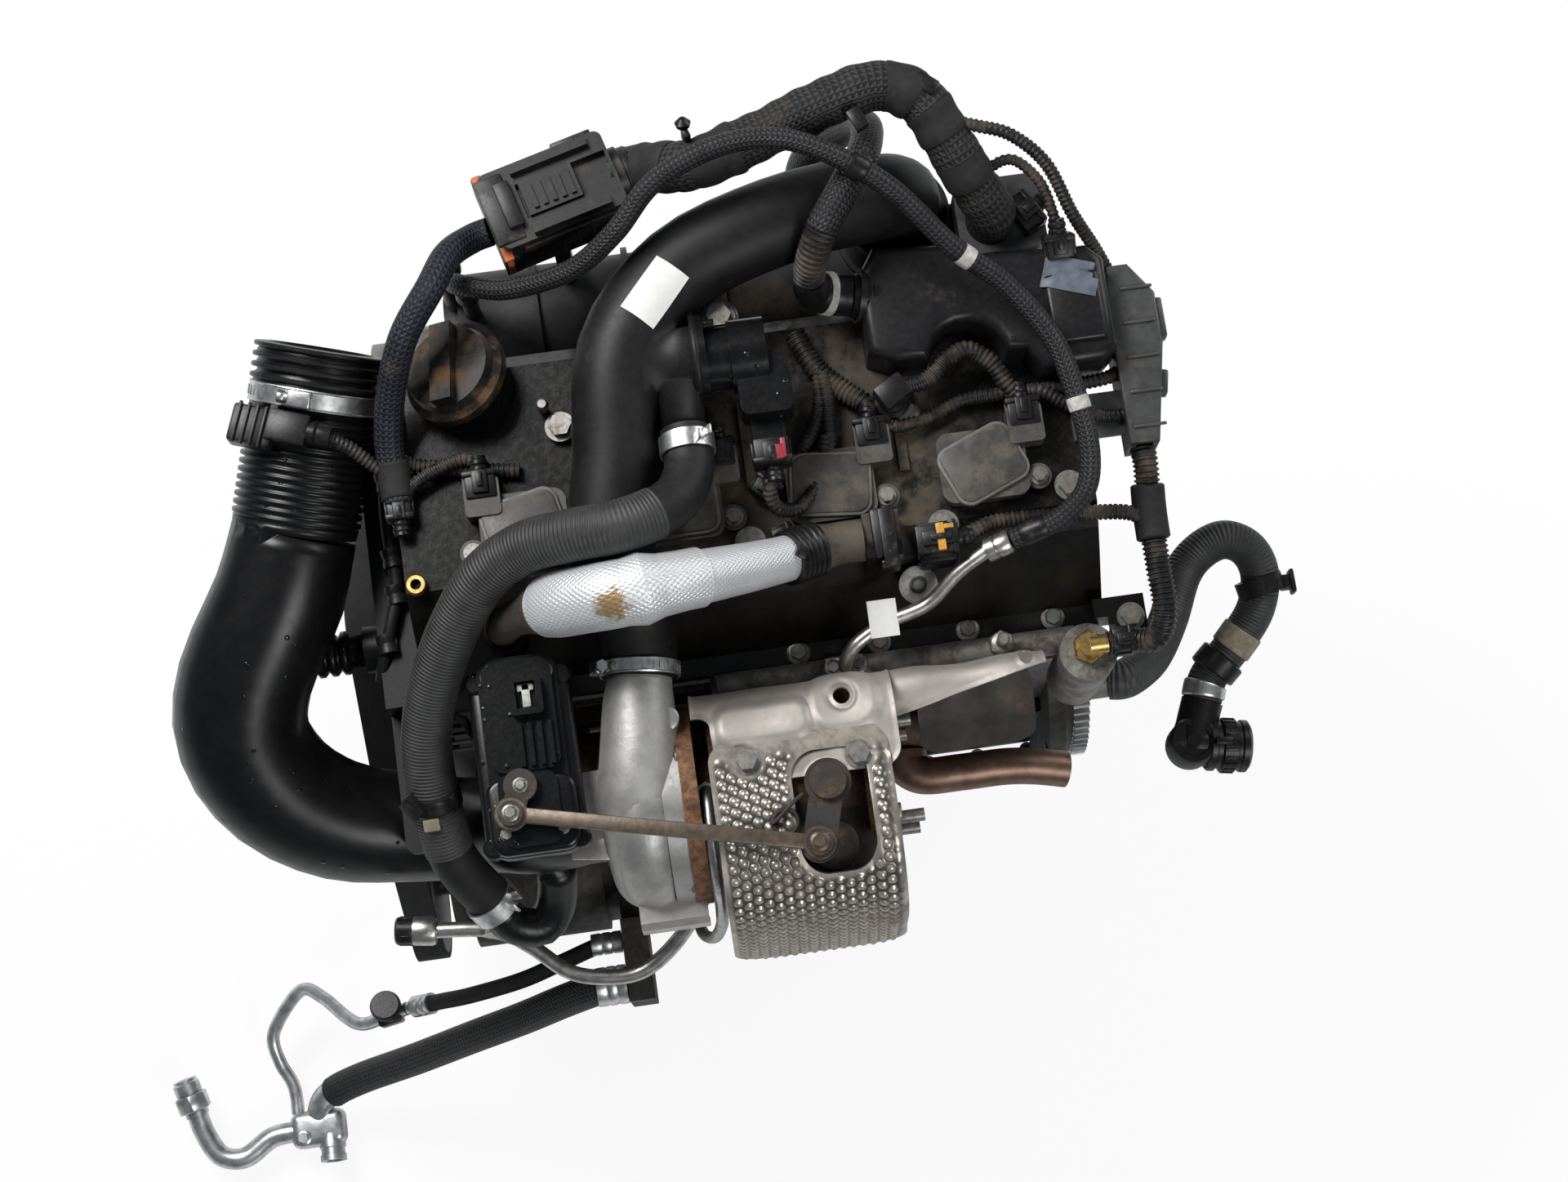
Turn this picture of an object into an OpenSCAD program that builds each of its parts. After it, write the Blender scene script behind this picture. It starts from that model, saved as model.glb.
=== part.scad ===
// Turbocharged in-line four-cylinder petrol car engine, as removed from the car.
// X runs along the crankshaft, timing side at -X. Y runs from the exhaust side (-Y) to the intake side.
// Z is up. The origin is the middle of the sump's flat bottom. Millimetres.

/* [Cylinders] */
// Distance between neighbouring cylinder axes
bore_pitch = 94; // [90:1:98]
// Length of the block and the head
block_l = 408; // [402:1:420]
// Depth of the sump below the block
sump_h = 110; // [100:1:120]
// Height of the block from the sump flange to the deck
block_h = 270; // [262:1:280]
// Width of the block at the water jacket
jacket_w = 184; // [176:1:192]
// Width of the block at the crankcase skirt
skirt_w = 204; // [198:1:206]
// Height of the cylinder head
head_h = 112; // [106:1:118]
// Distance from the coil line to the exhaust face of the head
exhaust_face = 95; // [92:1:97]
// Distance from the coil line to the intake face of the head
intake_face = 112; // [108:1:114]
// Height of the cam cover above the head
cover_h = 68; // [64:1:70]
// Depth of the timing cover along the crankshaft
timing_d = 42; // [38:1:46]

/* [Crank train] */
// Radius of the main journals
journal_r = 28; // [24:1:32]
// Radius of the crankshaft snout
snout_r = 16; // [13:1:20]
// Height of the crankshaft axis above the sump bottom
crank_z = 172; // [168:1:178]
// Radius of the crank pulley
crank_pulley_r = 66; // [60:1:70]
// Radius of the flexplate at the ring gear's root
flexplate_r = 126; // [118:1:132]
// Teeth of the ring gear
ring_teeth = 96; // [80:2:110]
// Radius of the bolt circle for the torque converter
converter_r = 104; // [96:1:108]
// Radius of each converter bolt hole
converter_hole_r = 5; // [4:0.5:6]

/* [Accessory drive] */
// Width of the accessory belt
belt_w = 22; // [18:1:24]
// Thickness of the accessory belt
belt_t = 4; // [3:0.5:5]
// Radius of the alternator pulley
alternator_pulley_r = 28; // [25:1:31]
// Radius of the air-conditioning compressor pulley
ac_pulley_r = 50; // [46:1:54]
// Radius of the water pump pulley
pump_pulley_r = 44; // [40:1:48]
// Radius of the tensioner pulley
tension_pulley_r = 30; // [27:1:33]

/* [Turbocharger] */
// Distance of the turbocharger axis from the coil line
turbo_y = 174; // [172:1:180]
// Height of the turbocharger axis above the sump bottom
turbo_z = 505; // [503:1:506]
// Radius of the compressor wheel
compressor_wheel_r = 27; // [24:0.5:28]
// Radius of the turbine wheel
turbine_wheel_r = 25; // [22:0.5:27]
// Radius of the turbocharger shaft
turbo_shaft_r = 5; // [4:0.5:6]
// Length of the actuator's crank arm
arm_l = 18.4; // [16:0.2:19]
// Length of the wastegate lever
lever_l = 37.4; // [34:0.2:38]
// Radius of the pins at both ends of the link rod
pin_r = 4.5; // [4:0.25:5.5]
// Thickness of the link rod
rod_t = 5; // [4:0.5:5.5]

/* [Hoses and ducts] */
// Outer radius of the charge duct
duct_r = 27; // [25:0.5:27]
// Outer radius of the recirculation hose
recirc_r = 15; // [13:0.5:15]
// Outer radius of the main harness
trunk_r = 15; // [12:0.5:15]
// Outer radius of the purge hose
purge_r = 6.5; // [5:0.5:6.5]
// Outer radius of the heater hose
heater_r = 13; // [11:0.5:14]
// Outer radius of the air-conditioning hose
ac_hose_r = 12; // [10:0.5:13]
// Bore radius of the air intake's mouth
mouth_r = 33; // [30:0.5:35]

/* [Mounting] */
// Spacing of the engine mount holes along the block
mount_dx = 110; // [96:1:120]
// Spacing of the engine mount holes up the block
mount_dz = 60; // [50:1:64]
// Radius of each engine mount hole
mount_hole_r = 5; // [4:0.5:6]
// Radius of the turbine outlet's stud circle
stud_circle_r = 42; // [40:0.5:44]
// Radius of each turbine outlet stud
stud_r = 4; // [3:0.5:5]

/* [Clearances] */
// Radial clearance of a running shaft
run_gap = 0.05; // [0.02:0.01:0.1]
// Gap between pieces that move past each other
part_gap = 0.5; // [0.3:0.1:1]
// Radial clearance at the open end of the link rod
rod_play = 1.2; // [1:0.1:1.5]

/* [Hidden] */
$fn = 48;

// Levels and ends
deck_z = sump_h + block_h;
head_z = deck_z + head_h;
cover_z = head_z + cover_h;
front_x = -block_l / 2;
rear_x = block_l / 2;
timing_x = front_x - timing_d;
sump_half_l = 141;
port_z = deck_z + 46;
cylinder_x = [for (i = [-1.5:1:1.5]) i * bore_pitch];
stud_root_r = stud_r - 0.8;
stud_root_l = 12;
guide_x = rear_x + 27.5;

// Accessory drive: each pulley's [y, z, radius], in order round the belt
belt_x = timing_x - 12 - belt_w;
pump_at = [-8, crank_z + 158];
tension_at = [-118, crank_z + 103];
ac_at = [-skirt_w / 2 - 58, crank_z];
alternator_at = [jacket_w / 2 + 72, crank_z + 113];
ac_port_x = timing_x + 118;
belt_run = [[0, crank_z, crank_pulley_r], [alternator_at.x, alternator_at.y, alternator_pulley_r],
    [pump_at.x, pump_at.y, pump_pulley_r], [tension_at.x, tension_at.y, tension_pulley_r],
    [ac_at.x, ac_at.y, ac_pulley_r]];

// Turbocharger stations along X
compressor_x = [-118, -68];
plate_x = -58;
turbine_x = [-44, 46];
outlet_x = turbine_x[1] + 10;
volute_r = 44;
foot_z = port_z + 16;
outlet_y = -100;

// Wastegate linkage, seen from above
actuator_z = 575;
arm_pivot = [-162, -159];
arm_angle = -112.4;
arm_pin = arm_pivot + arm_l * [cos(arm_angle), sin(arm_angle)];
lever_pivot = [19, -182];
lever_angle = -105.5;
lever_pin = lever_pivot + lever_l * [cos(lever_angle), sin(lever_angle)];
arm_t = 5;
arm_z = actuator_z + 1;
rod_z = arm_z + arm_t + part_gap;

// Shields
boss_z = 568;
manifold_sheet = 1.2;
turbine_sheet = 1.5;
shield_bolts = [[-27, -162], [40, -167]];

// Oil filler: foot of the neck and the lean of its axis
filler_at = [-160, 92, cover_z - 6];
filler_lean = [-12, -22, 0];
neck_h = 25;
neck_r = 24;
cap_r = 33;

// Electrical connector at the end of the main harness
ecu_at = [-96, 190, 606];
ecu_size = [80, 50, 44];
ecu_turn = 15;
slide_size = [34, 22, 7];

// Routes, hand-chosen: [x, y, z, radius]
joint_r = 20;
duct_route = [[-84, outlet_y + 0.5, 551, joint_r + 3], [-82.7, outlet_y + 12, 551.3, joint_r + 3],
    [-82, outlet_y + 21, 553, joint_r + 3.5],
    [-85, -60, 570, duct_r - 2], [-90, -28, 597, duct_r], [-79, 25, 607, duct_r], [-68, 87, 616, duct_r],
    [-27, 133, 616, duct_r], [35, 156, 614, duct_r], [90, 168, 598, duct_r], [112, 174, 576, duct_r],
    [114, 174, 562, duct_r], [114, 174, 548.3, duct_r]];
recirc_route = [[-36.5, 32, 621, recirc_r], [-36.5, 16, 623, recirc_r], [-38, 4, 626, recirc_r],
    [-47, -12, 634, recirc_r],
    [-65, -22, 642, recirc_r], [-86, -27, 646, recirc_r], [-112, -27, 641, recirc_r],
    [-142, -28, 626, recirc_r], [-172, -42, 605, recirc_r], [-202, -78, 568, recirc_r],
    [-218, -114, 536, recirc_r], [-220, -152, 508, recirc_r], [-215, -184, 483, recirc_r],
    [-200, -207, 455, recirc_r], [-194.5, -214.5, 447.5, recirc_r]];
elbow_route = [[-194.2, -214.9, 447.1, 13], [-186.5, -225.4, 436.6, 13], [-169, -228, 431, 13],
    [-158, -214, 440, 13], [-153, -194, 470, 13]];
vent_route = [[-162, -60, 552.3, 10], [-162, -60, 566, 10], [-156, -60, 585, 11], [-143, -60, 599, 13],
    [-128, -61, 613, 19], [-108, -63, 628, 20], [-84, -64, 637, 20], [-50, -60, 629, 18],
    [-10, -52, 604, 16], [14, -46, 587, 15], [27, -42, 580, 16.5], [40, -39, 574.5, 13.5],
    [50, -38, 573, 13], [61.7, -38, 573, 13]];
breather_route = [[75.4, 112.1, 586.1, 13], [65, 113.9, 587.9, 13], [54, 115, 595, 12], [50, 117, 610, 10],
    [53, 125, 630, 10], [60, 137, 643, 10], [70, 150, 648, 10], [81, 165, 648, 10], [92, 182, 642, 10],
    [98, 204, 620, 10], [96, 220, 588, 10], [84, 228, 556, 10], [68, 230, 526, 10], [61, 226, 501, 10],
    [60, 215, 490, 10], [60, 200, 490, 10]];
trunk_route = [[-56.9, 200.5, 606, trunk_r], [-45.3, 203.6, 606, trunk_r], [-28, 198, 619, trunk_r],
    [-8, 192, 633, trunk_r], [16, 197, 639, trunk_r], [44, 205, 643, trunk_r], [80, 216, 648, trunk_r],
    [109, 220, 648, trunk_r], [131, 209, 643, trunk_r], [143, 188, 634, trunk_r],
    [155, 166, 620, trunk_r], [166, 152, 602, trunk_r], [168, 150, 592, trunk_r],
    [168, 150, 579.4, trunk_r]];
purge_route = [[151.5, -50.9, 575.2, purge_r], [163, -48.4, 579.7, purge_r],
    [180, -44, 584, purge_r], [197, -31, 589, purge_r],
    [203, -11, 595, purge_r], [201, 18, 602, purge_r], [191, 59, 611, purge_r], [166, 94, 624, purge_r],
    [136, 117, 640, purge_r], [103, 151, 660, purge_r], [67, 175, 672, purge_r],
    [36, 186, 676, purge_r], [1, 185, 674, purge_r], [-36, 172, 664, purge_r], [-62, 150, 650, purge_r],
    [-91, 138, 628, purge_r], [-130, 138, 608, purge_r], [-155, 146, 600, purge_r],
    [-164, 154, 584, purge_r], [-160, 158, 560, purge_r], [-160, 158, 541.3, purge_r]];
left_route = [[-138, 178.7, 600, 9], [-149.6, 175.6, 600, 9], [-164, 161, 617, 9], [-176, 138, 629, 9],
    [-196, 112, 621, 9], [-210, 86, 594, 9], [-216, 62, 577, 9], [-216, 44, 570, 9],
    [-215, 24, 569.3, 9]];
middle_route = [[39, 98, 567.4, 7], [48, 76, 567.4, 7], [64, 58, 567.4, 7], [76, 46, 569, 7],
    [76, 32.7, 569, 7]];
right_route = [[guide_x + 9.5, -2.6, 560, 8], [guide_x + 9.5, -14, 560, 8], [guide_x + 8.5, -40, 552, 8],
    [guide_x + 8.5, -74, 549, 8], [guide_x + 8.5, -102, 546, 8], [233, -116, 537, 8],
    [219, -114, 530, 8], [204.4, -114, 530, 8]];
heater_route = [[214.6, -122, 438, heater_r], [226, -122, 438, heater_r], [246, -108, 421, heater_r],
    [264, -82, 405, heater_r],
    [279, -52, 401, heater_r], [294, -38, 402, heater_r], [311, -33, 402, heater_r],
    [326, -41, 398, heater_r], [332, -58, 392, heater_r], [326, -80, 384, heater_r],
    [308, -101, 376, heater_r], [290, -118, 371, heater_r], [283.4, -133.4, 369.1, heater_r]];
suction_route = [[ac_port_x - 0.6, -256, 234, ac_hose_r], [ac_port_x - 18, -256, 234, ac_hose_r],
    [-174, -260, 214, ac_hose_r], [-208, -266, 184, ac_hose_r], [-250, -272, 148, ac_hose_r],
    [-297, -279, 106, ac_hose_r], [-338, -284, 70, ac_hose_r], [-360, -288, 51, ac_hose_r],
    [-370, -291, 42.4, ac_hose_r]];
liquid_route = [[ac_port_x - 0.5, -226, 234, 6], [ac_port_x - 14, -226, 234, 6],
    [-172, -233, 219, 6], [-205, -240, 196, 6],
    [-245, -243, 166, 6], [-268, -243, 149, 6], [-278, -243, 142, 6]];
liquid_tube = [[-278.3, -243, 141.8, 8], [-296, -243, 129, 8], [-297, -243, 128.3, 5],
    [-318, -246, 112, 5], [-340, -246, 96, 5], [-366, -222, 72, 5], [-382, -212, 60, 5],
    [-398, -222, 48, 5], [-413, -242, 36, 5], [-411, -262, 29, 5], [-404, -278, 25, 5],
    [-402, -290, 24, 5], [-402, -301.6, 24, 5]];
second_tube = [[-408.4, -316, 24, 8], [-424, -318, 23, 8], [-446, -330, 22, 8], [-464, -326, 23, 8],
    [-474, -308, 26, 8], [-478, -292, 29, 8]];
oil_feed_route = [[-53.5, -174, 535.4, 4], [-53.5, -174, 548, 4], [-53.5, -184, 556, 4],
    [-53.5, -206, 556, 4], [-53.5, -228, 540, 4], [-54, -242, 500, 4], [-56, -246, 450, 4],
    [-62, -248, 404, 4], [-70, -238, 352, 4], [-72, -214, 334, 4], [-72, -150, 330, 4],
    [-72, -108, 330, 4], [-72, -92.4, 330, 4]];
oil_line_route = [[-264, -217, 420, 9], [-246, -219.5, 420, 9], [-245, -219.6, 420, 5],
    [-202, -225, 420, 5], [-180, -238, 416, 5], [-158, -257, 411, 5], [-136, -264, 410, 5],
    [-112, -264, 411, 5], [-90, -252, 418, 5], [-68, -230, 434, 4.5], [-56, -208, 444, 4],
    [-53.5, -184, 448, 4], [-53.5, -174, 458, 4], [-53.5, -174, 474.6, 4]];
return_pipe_route = [[74, -148.4, 424, 12], [74, -156, 424, 12], [86, -165, 423, 12],
    [112, -166, 422, 12], [140, -166, 420, 12], [160, -168, 416, 12], [180, -172, 411, 12]];
purge_pipe_route = [[42, -104, 519.9, 4.5], [42, -104, 532, 4.5], [50, -95, 541, 4.5],
    [70, -85, 544, 4.5], [96, -78, 549, 4.5], [116, -64, 561, 4.5], [134, -54.7, 568.4, 4.5],
    [135, -54.5, 568.8, 7.5], [151, -51, 575, 7.5]];

// Vector helpers
function unit(v) = v / norm(v);
function catmull(a, b, c, d, t) =
    0.5 * (2 * b + (c - a) * t + (2 * a - 5 * b + 4 * c - d) * t * t + (3 * b - a - 3 * c + d) * t * t * t);
function smooth(p, k) = [
    for (i = [0:len(p) - 2]) let (a = p[max(i - 1, 0)], d = p[min(i + 2, len(p) - 1)])
        for (j = [0:k - 1]) catmull(a, p[i], p[i + 1], d, j / k),
    p[len(p) - 1]];
function xyz(q) = [q[0], q[1], q[2]];
function carry(ts, s, i = 0) =
    i == len(ts) ? [] : let (q = unit(s - (s * ts[i]) * ts[i])) concat([q], carry(ts, q, i + 1));

// A point moved so that local +Z points along d
module along(p, d) {
    translate(p)
        rotate([0, acos(d[2] / norm(d)), atan2(d[1], d[0])])
            children();
}

// A round bar from p to q
module rod(p, q, r) {
    along(p, q - p) cylinder(r = r, h = norm(q - p));
}

// A shape drawn along local +Z, laid along +X from a point
module on_x(x, y, z) {
    translate([x, y, z]) rotate([90, 0, 90]) children();
}

// A hose swept along a smoothed route, one ring for each point
module hose(route, k = 3, sides = 12) {
    q = smooth(route, k);
    n = len(q);
    pts = [for (p = q) xyz(p)];
    last = len(route) - 1;
    ts = [for (i = [0:n - 1]) unit(
        i == 0 ? xyz(route[1] - route[0]) :
        i == n - 1 ? xyz(route[last] - route[last - 1]) : pts[i + 1] - pts[i - 1])];
    first = abs(ts[0][2]) > 0.9 ? [1, 0, 0] : cross([0, 0, 1], ts[0]);
    side = carry(ts, first);
    rings = [for (i = [0:n - 1]) for (j = [0:sides - 1])
        let (a = 360 * j / sides)
            pts[i] + q[i][3] * (cos(a) * side[i] + sin(a) * cross(ts[i], side[i]))];
    skin = [for (i = [0:n - 2]) for (j = [0:sides - 1])
        let (a = i * sides + j, b = i * sides + (j + 1) % sides)
            each [[a, a + sides, b + sides], [a, b + sides, b]]];
    start = [for (j = [0:sides - 1]) j];
    end = [for (j = [sides - 1:-1:0]) (n - 1) * sides + j];
    polyhedron(rings, concat([start, end], skin), convexity = 8);
}

// A rectangle with round corners
module rounded(l, w, r) {
    square([l - 2 * r, w], center = true);
    square([l, w - 2 * r], center = true);
    for (x = [-1, 1]) for (y = [-1, 1])
        translate([x * (l / 2 - r), y * (w / 2 - r)]) circle(r = r);
}

// A block with round upright edges, standing on z
module slab(x0, x1, y0, y1, z0, z1, r) {
    translate([(x0 + x1) / 2, (y0 + y1) / 2, z0])
        linear_extrude(z1 - z0) rounded(x1 - x0, y1 - y0, r);
}

// A plain block between two corners
module bar(a, b) {
    translate(a) cube(b - a);
}

// A flanged hexagon bolt head standing on its seat
module bolt_head(r) {
    cylinder(r = 1.45 * r, h = 0.35 * r);
    cylinder(r = r * 1.1, h = 1.2 * r, $fn = 6);
}

// A grooved pulley round local Z, with its shaft reaching down
module ribbed_pulley(r, w, bore, ribs = 6) {
    step = w / (ribs + 1);
    rotate_extrude()
        polygon(concat([[bore, 0], [r, 0]],
            [for (i = [0:ribs - 1]) each [[r, (i + 0.6) * step], [r - 2.2, (i + 1) * step],
                [r, (i + 1.4) * step]]],
            [[r, w], [bore, w]]));
}

module oil_pan() {
    flange = 8;
    sump_top = sump_h - flange;
    color("#2b2c2d") union() {
        translate([0, 0, sump_top]) linear_extrude(flange) rounded(block_l, skirt_w + 8, 14);
        slab(-sump_half_l, sump_half_l, -80, 80, 0, sump_top, 22);
        slab(front_x + 6, rear_x - 6, -skirt_w / 2 + 8, skirt_w / 2 - 8, 52, sump_top, 18);
        for (x = [-100:50:100]) for (s = [-1, 1])
            translate([x, s * 80, 0]) rotate([90, 0, 0])
                translate([0, 0, -8]) linear_extrude(16) polygon([[-3, 20], [3, 20], [3, 56], [-3, 56]]);
    }
}

module engine_block() {
    skirt_top = crank_z + 46;
    bell = 12;
    color("#6c6d6c") difference() {
        union() {
            slab(front_x, rear_x, -skirt_w / 2, skirt_w / 2, sump_h, skirt_top, 10);
            slab(front_x, rear_x, -jacket_w / 2, jacket_w / 2, skirt_top, deck_z - 14, 8);
            slab(front_x, rear_x, -exhaust_face + 1, exhaust_face - 1, deck_z - 14, deck_z, 8);
            for (x = [-1:1]) for (s = [-1, 1])
                bar([x * bore_pitch - 4, s > 0 ? jacket_w / 2 - 4 : -jacket_w / 2 - 4, skirt_top - 2],
                    [x * bore_pitch + 4, s > 0 ? jacket_w / 2 + 4 : -jacket_w / 2 + 4, deck_z - 16]);
            intersection() {
                on_x(rear_x - bell, 0, crank_z) cylinder(r = 148, h = bell);
                bar([0, -160, sump_h], [rear_x, 160, deck_z - 20]);
            }
            slab(-mount_dx / 2 - 16, mount_dx / 2 + 16, jacket_w / 2 - 10, jacket_w / 2 + 12,
                skirt_top + 8, skirt_top + mount_dz + 44, 6);
        }
        on_x(front_x - 1, 0, crank_z) cylinder(r = journal_r + run_gap, h = block_l + 2);
        for (x = [-1, 1]) for (z = [0, 1])
            translate([x * mount_dx / 2, jacket_w / 2 + 13, skirt_top + 26 + z * mount_dz])
                rotate([90, 0, 0]) cylinder(r = mount_hole_r, h = 22);
        for (x = cylinder_x) for (s = [-1, 1])
            translate([x, s * (jacket_w / 2 - 3), skirt_top + 62]) rotate([-90 * s, 0, 0])
                translate([0, 0, s > 0 && abs(x) < bore_pitch ? 20 : 0]) cylinder(r = 19, h = 9);
        for (a = [20:35:160])
            on_x(rear_x - bell - 1, 138 * cos(a), crank_z + 138 * sin(a)) cylinder(r = 6, h = bell + 2);
    }
}

module cylinder_head() {
    color("#8f8f8c") difference() {
        union() {
            slab(front_x, rear_x, -exhaust_face, intake_face, deck_z, deck_z + 14, 6);
            slab(front_x, rear_x, -exhaust_face + 8, intake_face - 10, deck_z + 14, head_z - 12, 6);
            slab(front_x, rear_x, -exhaust_face, intake_face, head_z - 12, head_z, 6);
            bar([-176, -exhaust_face, port_z - 34], [176, intake_face, port_z + 34]);
        }
        for (x = cylinder_x) {
            translate([x, -exhaust_face - 1, port_z]) rotate([-90, 0, 0]) cylinder(r = 15, h = 30);
            translate([x, intake_face - 30, port_z]) rotate([-90, 0, 0]) cylinder(r = 16, h = 31);
            translate([x, 0, deck_z + 40]) cylinder(r = 12, h = head_h);
        }
    }
}

// Section of the cam cover across the engine, as [y, z] above the head
cover_section = [[-exhaust_face, 0], [-exhaust_face, 11], [-84, 14], [-56, 44], [-44, 56], [-30, cover_h],
    [intake_face - 8, cover_h], [intake_face + 2, cover_h - 12], [intake_face + 2, 0]];
cover_bolt_at = [[100, 36], [-6, -28], [-112, 60], [112, -34], [192, -20]];
cover_x = [front_x - 14, rear_x + 4];
duct_post_at = [-7, 104, cover_z + 34];
rear_bolt_at = [rear_x + 18, -98, head_z + 30];

module cam_cover() {
    color("#2a2825") difference() {
        union() {
            on_x(cover_x[0], 0, head_z) linear_extrude(cover_x[1] - cover_x[0]) polygon(cover_section);
            for (p = cover_bolt_at) translate([p.x, p.y, cover_z - 20]) cylinder(r = 9, h = 24);
            for (x = bore_pitch * [-1, 0, 1]) bar([x - 3, 4, cover_z - 5], [x + 3, 60, cover_z + 3]);
            translate([duct_post_at.x, duct_post_at.y, cover_z - 20])
                cylinder(r = 9, h = duct_post_at.z - cover_z + 20);
            translate([-162, -60, head_z + 20]) cylinder(r = 13, h = 552 - head_z - 20);
            bar([62, -52, cover_z - 34], [84, -24, cover_z + 22]);
            bar([rear_x - 4, -96, head_z], [rear_x + 28, -84, rear_bolt_at.z]);
            bar([rear_x + 8, -107, head_z], [rear_x + 28, -90, rear_bolt_at.z]);
            translate(filler_at) rotate(filler_lean) translate([0, 0, -22])
                cylinder(r = neck_r, h = 22 + neck_h);
        }
        for (x = cylinder_x) translate([x, 0, head_z - 1]) cylinder(r = 14, h = cover_h + 10);
        translate(filler_at) rotate(filler_lean) translate([0, 0, 2]) cylinder(r = neck_r - 6, h = neck_h);
        translate([rear_bolt_at.x, rear_bolt_at.y, head_z - 1]) cylinder(r = 4, h = 40);
        bar([cover_x[0] - 1, 36, head_z - 1], [front_x - 2, intake_face + 10, cover_z + 9]);
    }
}

// Outline of the timing cover across the engine, drawn in by a margin
function timing_outline(in) = [[-100 + in, sump_h], [-102 + in, crank_z + 40],
    [-exhaust_face + in, deck_z - 60], [-exhaust_face + in, head_z], [intake_face - in, head_z],
    [intake_face - in - 12, deck_z - 60], [102 - in, crank_z + 40], [100 - in, sump_h]];

module timing_cover() {
    flange = 10;
    color("#1e1f20") difference() {
        union() {
            on_x(front_x - flange, 0, 0) linear_extrude(flange) polygon(timing_outline(0));
            on_x(timing_x, 0, 0) linear_extrude(timing_d) polygon(timing_outline(9));
            for (y = [-exhaust_face + 4, intake_face - 4]) for (z = [deck_z - 20:30:head_z - 10])
                on_x(front_x - flange - 6, y, z) cylinder(r = 6, h = 16);
            on_x(timing_x - 6, 0, crank_z) cylinder(r = 40, h = 12);
            on_x(timing_x - 6, pump_at.x, pump_at.y) cylinder(r = 32, h = 12);
            on_x(timing_x - 3, tension_at.x + 34, tension_at.y - 34) cylinder(r = 12, h = 13);
            on_x(timing_x - 10, spigot_at.x, spigot_at.y) cylinder(r = 15, h = 20);
            slab(timing_x, timing_x + 26, -175, -exhaust_face + 14, deck_z + 76, deck_z + 86, 6);
        }
        on_x(timing_x - 7, 0, crank_z) cylinder(r = snout_r + 8 + part_gap, h = timing_d + 8);
        on_x(timing_x - 7, pump_at.x, pump_at.y) cylinder(r = 8 + run_gap, h = 32);
    }
}

module crankshaft() {
    hub = 9;
    color("#5d5f62") difference() {
        union() {
            on_x(front_x, 0, crank_z) cylinder(r = journal_r, h = block_l + part_gap);
            on_x(timing_x - 6, 0, crank_z) cylinder(r = snout_r + 8, h = timing_d + 6);
            on_x(belt_x, 0, crank_z) cylinder(r = snout_r, h = front_x - belt_x);
            on_x(rear_x + part_gap, 0, crank_z) cylinder(r = 40, h = hub);
        }
        for (a = [0:60:300])
            on_x(rear_x + 1, 28 * cos(a), crank_z + 28 * sin(a)) cylinder(r = 4.2, h = hub);
    }
}

module crank_pulley() {
    color("#3a3a3a") on_x(belt_x, 0, crank_z) difference() {
        union() {
            ribbed_pulley(crank_pulley_r, belt_w, crank_pulley_r - 10);
            translate([0, 0, 6]) cylinder(r = crank_pulley_r - 9, h = 7);
            cylinder(r = snout_r + 8, h = timing_x - 6 - belt_x);
        }
        translate([0, 0, -1]) cylinder(r = snout_r + 0.02, h = 60);
        for (a = [0:60:300]) rotate(a) translate([crank_pulley_r - 26, 0, -1]) cylinder(r = 8, h = 30);
    }
}

module flexplate() {
    plate_x0 = rear_x + part_gap + 9;
    tooth = 360 / ring_teeth;
    color("#8a8b8c") on_x(plate_x0, 0, crank_z) difference() {
        union() {
            cylinder(r = flexplate_r - 2, h = 3);
            linear_extrude(11) difference() {
                polygon([for (i = [0:ring_teeth - 1]) each
                    [for (c = [[0, 0], [0.5, 0], [0.62, 4], [0.88, 4]])
                        (flexplate_r + c[1]) * [cos((i + c[0]) * tooth), sin((i + c[0]) * tooth)]]]);
                circle(r = flexplate_r - 8);
            }
        }
        translate([0, 0, -1]) cylinder(r = 14, h = 5);
        for (a = [0:60:300]) {
            rotate(a) translate([28, 0, -1]) cylinder(r = 4.2, h = 5);
            rotate(a) translate([converter_r, 0, -1]) cylinder(r = converter_hole_r, h = 5);
            rotate(a + 30) translate([72, 0, -1]) cylinder(r = 18, h = 5);
        }
    }
}

module crank_bolts() {
    color("#77787a") {
        for (a = [0:60:300])
            on_x(rear_x + part_gap + 12, 28 * cos(a), crank_z + 28 * sin(a)) {
                bolt_head(6);
                translate([0, 0, -8]) cylinder(r = 4, h = 8.1);
            }
        on_x(belt_x, 0, crank_z) mirror([0, 0, 1]) bolt_head(12);
    }
}

// Tangent points of the belt between two neighbouring pulleys, both grown by g
function tangents(a, b, g) =
    let (d = [b[0] - a[0], b[1] - a[1]], lean = atan2(d.y, d.x) - acos((a[2] - b[2]) / norm(d)),
        n = [cos(lean), sin(lean)])
    [[a[0], a[1]] + (a[2] + g) * n, [b[0], b[1]] + (b[2] + g) * n];

module belt_loop(g) {
    n = len(belt_run);
    for (p = belt_run) translate([p[0], p[1]]) circle(r = p[2] + g, $fn = 96);
    polygon([for (i = [0:n - 1]) each tangents(belt_run[i], belt_run[(i + 1) % n], g)]);
}

module accessory_belt() {
    color("#161616") on_x(belt_x, 0, 0) linear_extrude(belt_w) difference() {
        belt_loop(belt_t + 0.3);
        belt_loop(0.3);
    }
}

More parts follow.
